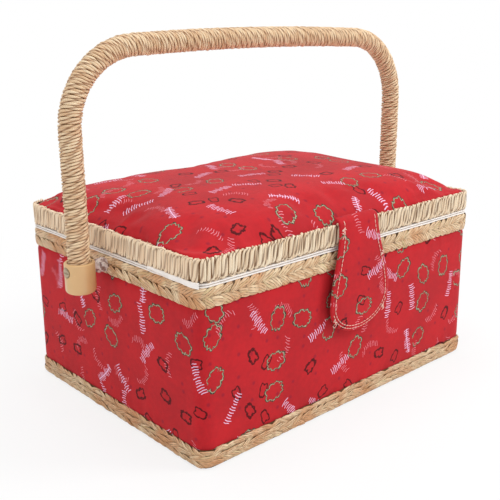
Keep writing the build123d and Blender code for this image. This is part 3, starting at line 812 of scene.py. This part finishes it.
# ---- Lid cover ----
CUSHION_MESH = 4.5 * MM
COVER_GROWTH = 1.8 * MM  # how far the cover stands out past its pad
CORNER_REACH = 30 * MM
CORNER_FULLNESS = 2.4 * MM
SWELL_MOST = 3 * MM
SWELL_PRESSURE = 4
SWELL_FRAMES = 20
# Bumps and hollows in mm: place across and back, height, and half widths across and back.
LID_UNEVENNESS = (
    (80, 35, 0.6, 62, 52), (130, 70, 2.6, 62, 52), (145, 92, 2.6, 30, 34),
    (-80, 45, -1.8, 62, 52), (-20, -60, 0.5, 62, 52), (-134, -8, -3.6, 17, 17),
)


def lid_cushion(cotton):
    """Printed cotton over the domed pad: the pad's form is remeshed, then swollen as cloth."""
    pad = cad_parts["lid_pad"]
    piece = pad.copy()
    piece.data = pad.data.copy()
    piece.parent = None
    bpy.context.scene.collection.objects.link(piece)
    piece.name = "lid_cushion"
    for key in [k for k in piece.keys() if k.startswith("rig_")]:
        del piece[key]
    edit(piece, ("remove_doubles", {"threshold": 0.01 * MM}))
    modify(piece, "REMESH", mode="VOXEL", voxel_size=CUSHION_MESH)
    start = points_of(piece)
    low, high = start.min(0), start.max(0)
    centre, foot = (low + high) / 2, low[2]
    anchor = [centre[0], centre[1], foot]
    scale = (high - low + 2 * COVER_GROWTH) / (high - low)
    scale[2] = (LID_COVER_TOP - foot) / (high[2] - foot)
    start = (start - anchor) * scale + anchor
    for axis in (0, 1):
        reach = np.abs(start[:, :2] - centre[:2]) - (high - low)[:2] / 2 + CORNER_REACH
        corner = np.prod(np.clip(reach / CORNER_REACH, 0, 1), axis=1)
        start[:, axis] += CORNER_FULLNESS * corner * np.sign(start[:, axis] - centre[axis])
    move_points(piece, start)
    swell(piece, start)
    x, y, z = points_of(piece).T
    share = (z - foot) / (z.max() - foot)
    z = foot + share * (LID_COVER_TOP - foot)
    for across, back, lift, wide, deep in LID_UNEVENNESS:
        away = ((x - across * MM) / (wide * MM)) ** 2 + ((y - back * MM) / (deep * MM)) ** 2
        z += lift * MM * np.exp(-away) * share
    place_points(piece, x, y, z)
    modify(piece, "SUBSURF", levels=1, render_levels=1)
    flat_uv(piece, points_of(piece)[:, :2] + 0.5)
    smooth(piece, 80)
    finish(piece, "lid", cotton, ["lid_cover", "lid_pad"])
    return piece


def swell(piece, start):
    """Inflates a padded piece as cloth, holds its foot, and caps how far any point may go."""
    hold = piece.vertex_groups.new(name="foot")
    hold.add([i for i, p in enumerate(start) if p[2] < RIM_HIGH.z - 2 * MM], 1.0, "REPLACE")
    cloth = piece.modifiers.new("Cloth", "CLOTH")
    cloth.settings.use_pressure = True
    cloth.settings.uniform_pressure_force = SWELL_PRESSURE
    cloth.settings.vertex_group_mass = "foot"
    cloth.settings.effector_weights.gravity = 0
    cloth.settings.shrink_min = -0.03
    cloth.point_cache.frame_start = 1
    cloth.point_cache.frame_end = SWELL_FRAMES
    for number in range(1, SWELL_FRAMES + 1):
        bpy.context.scene.frame_set(number)
    pick(piece)
    bpy.ops.object.modifier_apply(modifier=cloth.name)
    bpy.context.scene.frame_set(1)
    moved = points_of(piece) - start
    far = np.linalg.norm(moved, axis=1, keepdims=True)
    move_points(piece, start + moved * np.minimum(1, SWELL_MOST / np.maximum(far, 1e-9)))


# ---- Handle ----
HANDLE_CORNER = 57.6 * MM
HANDLE_CROWN = 2.6 * MM


def handle_line(foot):
    """Flat path of the handle, with its foot at height `foot` of the right leg."""
    radius = (WINDING_HIGH.y - WINDING_LOW.y) / 2
    half = WINDING_HIGH.x - radius
    slope = 2 * atan2(HANDLE_CROWN, half - HANDLE_CORNER)
    bar_half = half - HANDLE_CORNER * (1 - sin(slope))
    bar_radius = bar_half / sin(slope)
    top = WINDING_HIGH.z - radius
    bar_end = top - bar_radius * (1 - cos(slope))
    leg = bar_end - HANDLE_CORNER * cos(slope) - foot
    turn = 90 - degrees(slope)
    corner, bar = (HANDLE_CORNER, turn), (bar_radius, 2 * degrees(slope))
    moves = [(leg, 0), corner, bar, corner, (leg, 0)]
    long = 2 * leg + 2 * HANDLE_CORNER * radians(turn) + bar_radius * 2 * slope
    return trace("handle_line", (half, foot), 90, moves), long


def stand_up(piece):
    """Turns a piece made flat in X and Y upright, onto the handle's plane."""
    x, up, back = points_of(piece).T
    place_points(piece, x, (WINDING_LOW.y + WINDING_HIGH.y) / 2 - back, up)


def handle_winding(cord):
    """One long two-strand cord wound over the handle from ferrule to ferrule."""
    path, long = handle_line(FERRULE_TOP - 2 * MM)
    turns = round(long / HANDLE_CORD_PITCH)
    pitch = long / turns
    steps, sides = 30, 9
    piece = strip("handle_cord", 1, 1, steps * turns, sides)
    base = points_of(piece)
    way = base[:, 0] * turns
    share = np.round(base[:, 1] * sides) % sides / (sides - 1)
    side = radians(CORD_ARC) * (share - 0.5)
    outer = (WINDING_HIGH.y - WINDING_LOW.y) / 2
    strands = way * 5.37 + 0.5 * waver(way, turns, 40, 8)
    thick = CORD_FULLNESS * pitch
    reach = thick * (0.86 + 0.14 * np.cos(2 * (side - pi * strands)))
    radius = outer - thick + reach * np.cos(side) + 0.12 * MM * waver(way, turns, 60, 5)
    x = way * pitch + reach * np.sin(side) + 0.22 * MM * waver(way, turns, 90, 6)
    around = 2 * pi * way
    place_points(piece, np.clip(x, 0, long), radius * np.cos(around), radius * np.sin(around))
    flat_uv(piece, np.column_stack([share * 0.998 + 0.001, strands]))
    bend_along(piece, path)
    stand_up(piece)
    close_seams(piece)
    smooth(piece, 80)
    return finish(piece, "handle", cord, ["handle_winding"])


# ---- Closing flap ----
FLAP_TOP_HALF = 22 * MM
FLAP_HALF = 34 * MM
FLAP_STRAIGHT = 0.7  # share of the flap's grid above its round end
FLAP_WIDEST = 62 * MM
FLAP_TIP = 26.4 * MM
FLAP_TIP_SEWN = FLAP_TIP - 0.4 * MM
FLAP_TUCK = 7.5 * MM
FLAP_BEND = 4.6 * MM
FLAP_LIFT = 3.4 * MM
FLAP_SKEW = 1.4 * MM
FLAP_THICK = 3.4 * MM
FLAP_ROOT_THICK = 3.2 * MM
FLAP_BOW = 2.6 * MM
TOPSTITCH_INSET = 4.6 * MM


def flap_half_width(drop, inset=0.0):
    """Half the flap's width at a distance below the top of the rim."""
    share = np.clip(drop / FLAP_WIDEST, 0, 1)
    side = FLAP_TOP_HALF + (FLAP_HALF - FLAP_TOP_HALF) * share * share * (3 - 2 * share)
    past = np.clip((drop - FLAP_WIDEST) / (FLAP_TIP - inset), 0, 1)
    return (side - inset) * np.sqrt(1 - past**2)


def on_flap(drop):
    """Place (y, z) and outward direction of the flap's middle layer, by distance below the rim's top."""
    top_z = RIM_HIGH.z + FLAP_LIFT
    hang_y = FLAP_BACK - FLAP_THICK / 2
    turn = np.clip((drop + FLAP_BEND * pi / 2) / FLAP_BEND, 0, pi / 2)
    level = np.minimum(drop + FLAP_BEND * pi / 2, 0)
    long = FLAP_WIDEST + FLAP_TIP
    fall = np.maximum(drop, 0) * (long + FLAP_LIFT - FLAP_BEND) / long
    y = hang_y + FLAP_BEND * (1 - np.sin(turn)) - level
    z = top_z - FLAP_BEND * (1 - np.cos(turn)) - fall
    y = y - FLAP_BOW * np.sin(pi * np.clip(fall / long, 0, 1))
    return y, z, -np.sin(turn), np.cos(turn)


def flap_shift(drop):
    """The flap is sewn on a little to the left of its tip."""
    return -FLAP_SKEW * (1 - np.clip(drop / FLAP_WIDEST, 0, 1))


def closing_flap(cotton):
    """Padded tongue from under the lid's cover, over the rim and down the front."""
    piece = strip("closing_flap", 1, 1, 64, 28)
    way, around, _ = points_of(piece).T
    around = around * 2 * pi
    above = way < FLAP_STRAIGHT
    past = np.sin(radians(89) * np.clip((way - FLAP_STRAIGHT) / (1 - FLAP_STRAIGHT), 0, 1))
    drop = -FLAP_TUCK + (FLAP_WIDEST + FLAP_TUCK) * (way / FLAP_STRAIGHT)
    drop = np.where(above, drop, FLAP_WIDEST + FLAP_TIP_SEWN * past)
    half = np.where(above, flap_half_width(drop), FLAP_HALF * np.sqrt(1 - past**2))
    x = half * squared_off(np.cos(around), 0.6)
    thick = np.interp(drop, [-FLAP_TUCK, 0, 8 * MM], [FLAP_ROOT_THICK, FLAP_ROOT_THICK, FLAP_THICK])
    seam = 1 - 0.32 * np.exp(-(((half - np.abs(x)) - TOPSTITCH_INSET) / (1.2 * MM)) ** 2)
    seam = np.where(drop > 5 * MM, seam, 1)
    taper = np.where(half > 3 * MM, 1, half / (3 * MM))
    offset = -thick / 2 * squared_off(np.sin(around), 0.45) * seam * taper
    y, z, out_y, out_z = on_flap(drop)
    ripple = 0.22 * MM * np.sin(drop / (9 * MM) + 1.3) * np.clip(drop / (20 * MM), 0, 1)
    x = x + flap_shift(drop)
    place_points(piece, x, y + (offset + ripple) * out_y, z + offset * out_z)
    flat_uv(piece, np.column_stack([x + 0.53, 0.21 - drop]))
    close_seams(piece)
    smooth(piece, 80)
    finish(piece, None, cotton, ["flap_root", "flap_strap"])
    hang_over_rim(piece)
    return piece


def hang_over_rim(piece):
    """Bakes the piece's place into its points; the piece is carried by neither the lid nor the flap."""
    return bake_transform(piece)


def flap_edge(inset, step):
    """Places (x, drop) at even steps along the flap's outline, `inset` inside it."""
    fall = np.linspace(-3 * MM, FLAP_WIDEST, 200)
    turn = np.linspace(0, pi, 200)[1:-1]
    right = np.column_stack([flap_half_width(fall, inset), fall])
    end_drop = FLAP_WIDEST + (FLAP_TIP_SEWN - inset) * np.sin(turn)
    end = np.column_stack([(FLAP_HALF - inset) * np.cos(turn), end_drop])
    line = np.vstack([right, end, right[::-1] * (-1, 1)])
    run = run_along(line)
    even = np.arange(step / 2, run[-1], step)
    return np.column_stack([np.interp(even, run, line[:, 0]), np.interp(even, run, line[:, 1])])


def stitches(name, places, turns, size, thread):
    """Short rounded stitches on the flap's face; places are (x, drop) and turns are radians."""
    bpy.ops.mesh.primitive_uv_sphere_add(segments=6, ring_count=5, radius=0.5)
    piece = named(name)
    long, wide, tall = size
    along, out, across = np.moveaxis(repeat(piece, len(places)) * (long, tall, wide), 2, 0)
    cosine, sine = np.cos(turns)[:, None], np.sin(turns)[:, None]
    x, drop = places[:, 0, None], places[:, 1, None]
    x = x + flap_shift(drop) + along * cosine - across * sine
    drop = drop - along * sine - across * cosine
    y, z, out_y, out_z = on_flap(drop)
    thick = np.interp(drop, [0, 8 * MM], [FLAP_ROOT_THICK, FLAP_THICK]) / 2 - 0.45 * MM
    raise_by = thick + out + tall / 2
    place_points(piece, x, y + raise_by * out_y, z + raise_by * out_z)
    edit(piece, FACE_OUTWARDS)
    smooth(piece, 80)
    finish(piece, None, thread)
    return hang_over_rim(piece)


# Tacks: place across and drop in mm, and how many.
TACKS = ((-19, 5, 8), (24.5, 27, 6), (-28.5, 75, 7), (28, 75, 6))


def flap_sewing(thread):
    """Topstitch inside the flap's edge, a second row round its tip, and tacks at four places."""
    line = flap_edge(TOPSTITCH_INSET, 3.5 * MM)
    turn = np.arctan2(-np.gradient(line[:, 1]), np.gradient(line[:, 0]))
    turn = turn + rng.normal(0, 0.06, len(line))
    stitches("flap_topstitch", line, turn, (3.4 * MM, 0.64 * MM, 0.6 * MM), thread)
    second = flap_edge(TOPSTITCH_INSET - 2.4 * MM, 3.3 * MM)
    second = second[second[:, 1] > FLAP_WIDEST + 6 * MM]
    turn = np.arctan2(-np.gradient(second[:, 1]), np.gradient(second[:, 0]))
    stitches("flap_tip_stitch", second, turn, (3.2 * MM, 0.62 * MM, 0.6 * MM), thread)
    tacks, turns = [], []
    for x, drop, number in TACKS:
        for i in range(number):
            tacks.append((x * MM + rng.normal(0, 0.9) * MM, drop * MM + rng.normal(0, 2.0) * MM))
            turns.append(rng.normal(0.6 if i % 2 else 2.4, 0.25))
    stitches("flap_tacks", np.array(tacks), np.array(turns), (4.2 * MM, 0.6 * MM, 0.6 * MM), thread)


# ---- Inside ----
def round_band(name, profile, steps, rows):
    """Cloth that runs round the basket, from its profile as (inset, z) points in mm."""
    piece = strip(name, OUTLINE, 1, steps, rows)
    along, across, _ = points_of(piece).T
    profile = np.array(profile) * MM
    run = run_along(profile)
    way = across * run[-1]
    place_points(piece, along, np.interp(way, run, profile[:, 0]), np.interp(way, run, profile[:, 1]))
    return piece


def edit_edges(piece, wanted, *steps):
    """Runs mesh operators on the edges whose two ends pass a test."""
    pick(piece)
    bpy.ops.object.mode_set(mode="EDIT")
    bpy.ops.mesh.select_mode(type="EDGE")
    bpy.ops.mesh.select_all(action="DESELECT")
    bpy.ops.object.mode_set(mode="OBJECT")
    for edge in piece.data.edges:
        edge.select = wanted(*(piece.data.vertices[i].co for i in edge.vertices))
    bpy.ops.object.mode_set(mode="EDIT")
    for step, settings in steps:
        getattr(bpy.ops.mesh, step)(**settings)
    bpy.ops.mesh.select_mode(type="VERT")
    bpy.ops.object.mode_set(mode="OBJECT")
    return piece


def bend_and_cap(piece, path, z, across):
    """Bends a band round the basket and fills its open end at one height with a grid of faces."""
    bend_round(piece, path)
    edit(piece, MERGE)
    level = lambda a, b: abs(a.z - z) < 0.05 * MM and abs(b.z - z) < 0.05 * MM
    edit_edges(piece, level, ("fill_grid", {"span": across, "use_interp_simple": True}))


def box_lining(path, cotton):
    """Cream lining over the floor and walls, turned over the liner board's top edge."""
    floor, top = LINING_LOW.z / MM + 0.9, LINING_HIGH.z / MM
    over_edge = [(9.2, 2.5), (9.1, 0.6), (8.6, 0.1), (7.9, 0), (7.1, 0.2), (6.7, 0.9)]
    profile = [(9.2, floor)] + [(inset, top - below) for inset, below in over_edge]
    piece = round_band("box_lining", profile, 300, 34)
    along, y, z = points_of(piece).T
    depth = np.clip((z - LINING_LOW.z) / (LINING_HIGH.z - LINING_LOW.z), 0, 1)
    place_points(piece, along, y + 0.35 * MM * waver(along, OUTLINE, 30, 11) * np.sin(pi * depth), z)
    bend_and_cap(piece, path, floor * MM, 64)
    smooth(piece, 60)
    edit(piece, ("normals_make_consistent", {"inside": True}))
    finish(piece, "box", cotton, ["lining"])
    return piece


def lid_inside(path, cotton):
    """Lining under the lid board and down the inside of the rim."""
    low, high = LID_LINING_LOW.z / MM, LID_LINING_HIGH.z / MM - 1.5
    profile = [(4.5, low + 0.2), (5.2, low + 0.4), (5.3, high - 0.8), (5.9, high)]
    piece = round_band("lid_inside", profile, 280, 8)
    along, y, z = points_of(piece).T
    place_points(piece, along, y + 0.15 * MM * waver(along, OUTLINE, 50, 12), z)
    bend_and_cap(piece, path, high * MM, 60)
    smooth(piece, 50)
    finish(piece, "lid", cotton, ["lid_lining"])
    return piece


def cushion_form(name, node, cotton, puff):
    """Small padded patch with a full middle and pulled-in edges, flat where it is sewn down."""
    low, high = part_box(node)
    bpy.ops.mesh.primitive_cube_add(size=2)
    piece = named(name)
    edit(piece, ("subdivide", {"number_cuts": 15}))
    x, y, z = points_of(piece).T
    centre, half = np.array((low + high) / 2), np.array((high - low) / 2)
    puffed = (1 - np.abs(x) ** puff) ** 0.5 * (1 - np.abs(y) ** puff) ** 0.5
    wide = 0.8 + 0.2 * np.sqrt(np.clip(1 - 0.5 * y**2, 0, 1))
    deep = 0.8 + 0.2 * np.sqrt(np.clip(1 - 0.5 * x**2, 0, 1))
    tall = np.where(z < -0.99, -1 + 2 * (1 - puffed) * 0.7, z * (0.3 + 0.7 * puffed))
    places = np.column_stack([x * wide, y * deep, np.where(z > 0.99, 1, tall)])
    move_points(piece, centre + places * half)
    modify(piece, "SUBSURF", levels=1, render_levels=1)
    flat_uv(piece, points_of(piece)[:, :2] + 0.2)
    smooth(piece, 80)
    finish(piece, "lid", cotton, [node])
    return piece


def lid_pocket(cotton):
    """Gathered pocket under the lid, with a ruched opening towards the front."""
    low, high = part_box("lid_pocket")
    long, wide = high.x - low.x, high.y - low.y
    piece = strip("lid_pocket_cloth", long, wide, 150, 40)
    x, y, _ = points_of(piece).T
    in_x = np.minimum(x, long - x) / (8 * MM)
    in_y = np.minimum(y, wide - y) / (8 * MM)
    full = np.clip(in_x, 0, 1) ** 0.5 * np.clip(in_y, 0.15, 1) ** 0.5
    gather = np.sin(2 * pi * x / (6.2 * MM) + 0.8 * np.sin(2 * pi * x / (31 * MM)))
    ruche = gather * np.exp(-y / (14 * MM)) * 0.8 * MM
    z = high.z - 0.3 * MM - (high.z - low.z - 1.2 * MM) * full + ruche * np.clip(in_x, 0, 1)
    place_points(piece, low.x + x, low.y + y, np.clip(z, low.z, high.z - 0.1 * MM))
    modify(piece, "SOLIDIFY", thickness=0.5 * MM, offset=0)
    flat_uv(piece, points_of(piece)[:, :2])
    edit(piece, FACE_OUTWARDS)
    smooth(piece, 80)
    finish(piece, "lid", cotton, ["lid_pocket"])
    return piece


HINGE_LEAF = 5.5 * MM
HINGE_FLAT = 0.35  # share of the hinge's width that each flat leaf takes


def cloth_hinge(cotton):
    """Folded cloth that joins the lid to the back of the box."""
    low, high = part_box("hinge_cloth_lower")
    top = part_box("hinge_cloth_upper")[1]
    long = high.x - low.x
    piece = strip("cloth_hinge", long, 1, 120, 16)
    along, way, _ = points_of(piece).T
    middle, gap = (low.z + top.z) / 2, (top.z - low.z) / 2 - 0.25 * MM
    turn = radians(180) * np.clip((way - HINGE_FLAT) / (1 - 2 * HINGE_FLAT), 0, 1)
    back = RIM_HIGH.y - 0.1 * MM
    lower, upper = way < HINGE_FLAT, way > 1 - HINGE_FLAT
    y = back + gap * np.sin(turn)
    y = np.where(upper, back - HINGE_LEAF * (way - 1 + HINGE_FLAT) / HINGE_FLAT, y)
    y = np.where(lower, back - HINGE_LEAF * (1 - way / HINGE_FLAT), y)
    z = middle - gap * np.cos(turn) + 0.08 * MM * waver(along, long, 20, 21)
    place_points(piece, low.x + along, y, z)
    modify(piece, "SOLIDIFY", thickness=0.35 * MM, offset=0)
    edit(piece, FACE_OUTWARDS)
    smooth(piece, 60)
    finish(piece, None, cotton, ["hinge_cloth_lower", "hinge_cloth_upper"])
    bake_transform(piece)
    return piece


def base_cloth(cotton):
    """Backing cloth glued under the base board."""
    low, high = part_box("base_cover")
    bpy.ops.mesh.primitive_cube_add(size=1)
    piece = named("base_cloth")
    move_points(piece, points_of(piece) * np.array(high - low) + np.array((low + high) / 2))
    upright = lambda a, b: abs(a.z - b.z) > 0.1 * MM
    edit_edges(piece, upright, ("bevel", {"offset": RIM_CORNER - 3.5 * MM, "segments": 8}))
    finish(piece, "box", cotton, ["base_cover"])
    return piece


# ---- Handle fittings ----
def spacer_sleeve(side, plastic):
    """Soft crinkled sleeve between the wall and the ferrule."""
    low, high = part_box("pivot_spacers")
    piece = strip("spacer_right" if side > 0 else "spacer_left", 1, 1, 24, 40)
    share, around, _ = points_of(piece).T
    around = around * 2 * pi
    start, end = RIM_HIGH.x - 3.4 * MM, high.x
    fold = 1.3 * np.abs(np.sin(3 * around + 5 * share))
    fold = fold + 0.8 * np.abs(np.sin(5 * around - 9 * share + side))
    round_end = 1 - 0.45 * np.abs(2 * share - 0.9) ** 3
    r = (high.z - low.z) / 2 * (0.76 + 0.18 * fold * np.sin(pi * share) ** 0.5) * round_end
    x = start + (end - start) * share + 0.5 * MM * np.sin(3 * around + side) * np.sin(pi * share)
    y, z = (low.y + high.y) / 2, (low.z + high.z) / 2
    place_points(piece, side * x, y + r * np.cos(around), z + r * np.sin(around))
    close_seams(piece)
    smooth(piece, 60)
    return finish(piece, "box", plastic)


# ---- Plain finishes ----
def cardboard(name, colour):
    board = Finish(name, 0.9)
    place = board.place()
    flecks = board.between(board.noise(place, 700.0, 4.0), 0.35, 0.65)
    board.colour(board.mix(flecks, colour, darker(colour, 0.75)))
    board.bump(flecks, 0.05 * MM, 0.4)
    return board.material


def satin_plastic(name, colour, roughness, grain):
    plastic = Finish(name, roughness)
    place = plastic.place()
    cloudy = plastic.between(plastic.noise(place, 45.0, 3.0), 0.3, 0.7)
    plastic.colour(plastic.mix(cloudy, colour, darker(colour, 0.93)))
    fine = plastic.noise(place, grain, 2.0)
    plastic.rough(plastic.between(fine, 0.2, 0.8, roughness - 0.05, roughness + 0.08))
    plastic.bump(fine, 0.02 * MM, 0.12)
    return plastic.material


def nickel(name):
    metal = Finish(name, 0.28, Metallic=1.0)
    place = metal.place()
    metal.colour(metal.mix(metal.noise(place, 300.0), srgb(206, 188, 160), srgb(160, 142, 118)))
    metal.rough(metal.between(metal.noise(place, 900.0, 4.0), 0.3, 0.7, 0.2, 0.42))
    return metal.material


def crumpled_cloth(name, light, dark):
    """Thin crumpled material with painted shade in its folds and painted highlights between them."""
    cloth = Finish(name, 0.5)
    x, y, z = cloth.parts(cloth.place())
    folds = cloth.noise(cloth.join(x, y, cloth.times(z, 0.4)), 430.0, 2.0, 0.6)
    cloth.colour(cloth.mix(cloth.between(folds, 0.38, 0.58), dark, light))
    cloth.bump(folds, 1.2 * MM, 0.9)
    return cloth.material


def cane():
    wood = Finish("cane", 0.55)
    x, y, z = wood.parts(wood.place())
    grain = wood.noise(wood.join(x, y, wood.times(z, 0.08)), 900.0)
    wood.colour(wood.mix(grain, srgb(150, 112, 70), srgb(188, 150, 102)))
    return wood.material


def dress(nodes, material):
    """Gives carried-over pieces a finish."""
    for name in nodes:
        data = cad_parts[name].data
        data.materials.clear()
        data.materials.append(material)


# ---- Stage ----
WORLD_LIGHT = 0.62
FLOOR_GLOW = 0.78
CAMERA_PLACE = (-0.4468, -0.4885, 0.2991)
CAMERA_LENS = 56.47
CAMERA_DOWN, CAMERA_TURN, CAMERA_ROLL = 16.44, -41.98, -0.47  # degrees
# Lamps: name, place, the place they light, size and power.
LAMPS = (
    ("key", (0.95, -1.0, 1.25), (0, 0, 0.1), 0.6, 12.0),
    ("top", (-0.15, 0.1, 1.9), (0, 0, 0.1), 1.2, 12.0),
    ("fill", (-1.5, -0.35, 0.45), (0, 0, 0.12), 0.9, 1.3),
)


def soft_lamp(name, place, aim, size, power):
    lamp = bpy.data.lights.new(name, "AREA")
    lamp.shape, lamp.size, lamp.energy = "DISK", size, power
    holder = bpy.data.objects.new(name, lamp)
    holder.location = place
    holder.rotation_euler = (Vector(aim) - Vector(place)).to_track_quat("-Z", "Y").to_euler()
    bpy.context.scene.collection.objects.link(holder)


def white_surround():
    """Plain white studio: white to the camera and through clear parts, soft grey light elsewhere."""
    world = bpy.data.worlds.new("studio")
    world.use_nodes = True
    bpy.context.scene.world = world
    nodes, links = world.node_tree.nodes, world.node_tree.links
    glow = nodes["Background"]
    glow.inputs["Color"].default_value = (1, 1, 1, 1)
    rays = nodes.new("ShaderNodeLightPath")
    seen = nodes.new("ShaderNodeMath")
    seen.operation = "MAXIMUM"
    links.new(rays.outputs["Is Camera Ray"], seen.inputs[0])
    links.new(rays.outputs["Is Transmission Ray"], seen.inputs[1])
    level = nodes.new("ShaderNodeMapRange")
    level.inputs["To Min"].default_value = WORLD_LIGHT
    links.new(seen.outputs[0], level.inputs["Value"])
    links.new(level.outputs[0], glow.inputs["Strength"])


def floor_plane():
    """Plain pale floor that stays white to the camera and keeps the soft shadow round the basket."""
    bpy.ops.mesh.primitive_plane_add(size=12)
    floor = named("studio_floor")
    pale = Finish("pale_floor", 0.9)
    pale.surface.inputs["Base Color"].default_value = (0.92, 0.92, 0.92, 1)
    output = pale.tree.nodes["Material Output"]
    glow = pale.node("ShaderNodeEmission", {"Color": (1.0, 1.0, 1.0), "Strength": 1.0})
    rays = pale.node("ShaderNodeLightPath").outputs
    x, y, _ = pale.parts(pale.place())
    away = pale.length(pale.join(x, y))
    share = pale.times(rays["Is Camera Ray"], pale.between(away, 0.2, 0.55, FLOOR_GLOW, 1.0))
    mixed = pale.node("ShaderNodeMixShader", {0: share, 1: pale.surface.outputs[0], 2: glow.outputs[0]})
    pale.tree.links.new(mixed.outputs[0], output.inputs["Surface"])
    floor.data.materials.append(pale.material)


def camera_at_corner():
    """Camera low over the near left corner of the basket."""
    lens = bpy.data.cameras.new("view")
    lens.sensor_width = 36
    lens.lens = CAMERA_LENS
    lens.clip_start, lens.clip_end = 0.01, 50
    eye = bpy.data.objects.new("view", lens)
    bpy.context.scene.collection.objects.link(eye)
    eye.location = CAMERA_PLACE
    aim = Euler((radians(90 - CAMERA_DOWN), 0, radians(CAMERA_TURN))).to_matrix()
    roll = Matrix.Rotation(radians(CAMERA_ROLL), 3, "Z")
    eye.rotation_euler = (aim @ roll).to_euler()
    bpy.context.scene.camera = eye


# ---- Build ----
def build():
    bpy.ops.object.select_all(action="DESELECT")
    cotton = printed_cotton()
    cream = plain_cotton("cream_lining", srgb(232, 224, 206))
    white_tape = plain_cotton("off_white_tape", srgb(255, 248, 242), 0.4)
    thread = plain_cotton("off_white_thread", srgb(242, 200, 184), 0.3)
    # The straw's last colour is its painted shade where straws meet and at leaf ends.
    straw = straw_finish("straw", srgb(255, 232, 192), srgb(190, 134, 82), srgb(100, 60, 30))
    # Each cord's third colour is its painted shade between strands and turns; the rim cord also gets a
    # painted highlight at its left end.
    light, dark, gap = srgb(255, 241, 214), srgb(232, 200, 162), srgb(116, 76, 44)
    rim_paper = paper_cord_finish("rim_paper_cord", light, dark, gap, turn_shade=0.82, left_highlight=0.3)
    light, dark, gap = srgb(255, 234, 198), srgb(214, 168, 122), srgb(138, 86, 50)
    handle_paper = paper_cord_finish("handle_paper_cord", light, dark, gap)
    # Dark brown that stands for the shade seen in the gaps of the braids and the rim cord.
    shade_brown = cardboard("shade_brown", srgb(132, 92, 56))

    path = rim_line()
    wall_cover(path, cotton)
    top_braid(path, straw, shade_brown)
    base_braid(path, straw, shade_brown)
    rim_cord(path, rim_paper)
    tape("body_edging_tape", "body_edging", path, white_tape, "box")
    tape("lid_edging_tape", "lid_edging", path, white_tape, "lid")
    tape_end(path, white_tape)
    lid_cushion(cotton)
    handle_winding(handle_paper)
    closing_flap(cotton)
    flap_sewing(thread)
    box_lining(path, cream)
    lid_inside(path, cream)
    cushion_form("pincushion", "lid_pincushion", cotton, 4)
    lid_pocket(cotton)
    cloth_hinge(cream)
    base_cloth(cream)

    # The sleeve's two colours are its painted highlight and its painted shade.
    crinkled = crumpled_cloth("crinkled_sleeve", srgb(240, 226, 220), srgb(150, 118, 110))
    left = spacer_sleeve(-1, crinkled)
    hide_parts("pivot_spacers")
    spacer_sleeve(1, crinkled)

    beige = satin_plastic("ferrule_plastic", srgb(228, 186, 132), 0.2, 500.0)
    dress(["ferrule_left", "ferrule_right"], beige)
    dress(["pivot_posts", "pivot_screws", "snap_wall", "snap_flap"], nickel("nickel_plate"))
    dress(["sewing_tray"], satin_plastic("tray_plastic", srgb(232, 230, 224), 0.42, 700.0))
    dress(["handle_core"], cane())
    # The rim core shows only between the cord's turns, as painted shade.
    dress(["lid_rim_core"], shade_brown)
    grey = cardboard("grey_board", srgb(158, 146, 124))
    dress(["base_board", "wall_board", "lid_board"], grey)
    dress(["inner_liner", "tray_ledge"], cardboard("cream_board", srgb(222, 214, 196)))


def light_it():
    white_surround()
    floor_plane()
    for lamp in LAMPS:
        soft_lamp(*lamp)
    camera_at_corner()
    bpy.context.scene.view_settings.view_transform = "Standard"


build()
light_it()
bpy.data.objects.remove(bpy.data.objects["rim_line"])
bpy.data.objects.remove(bpy.data.objects["handle_line"])
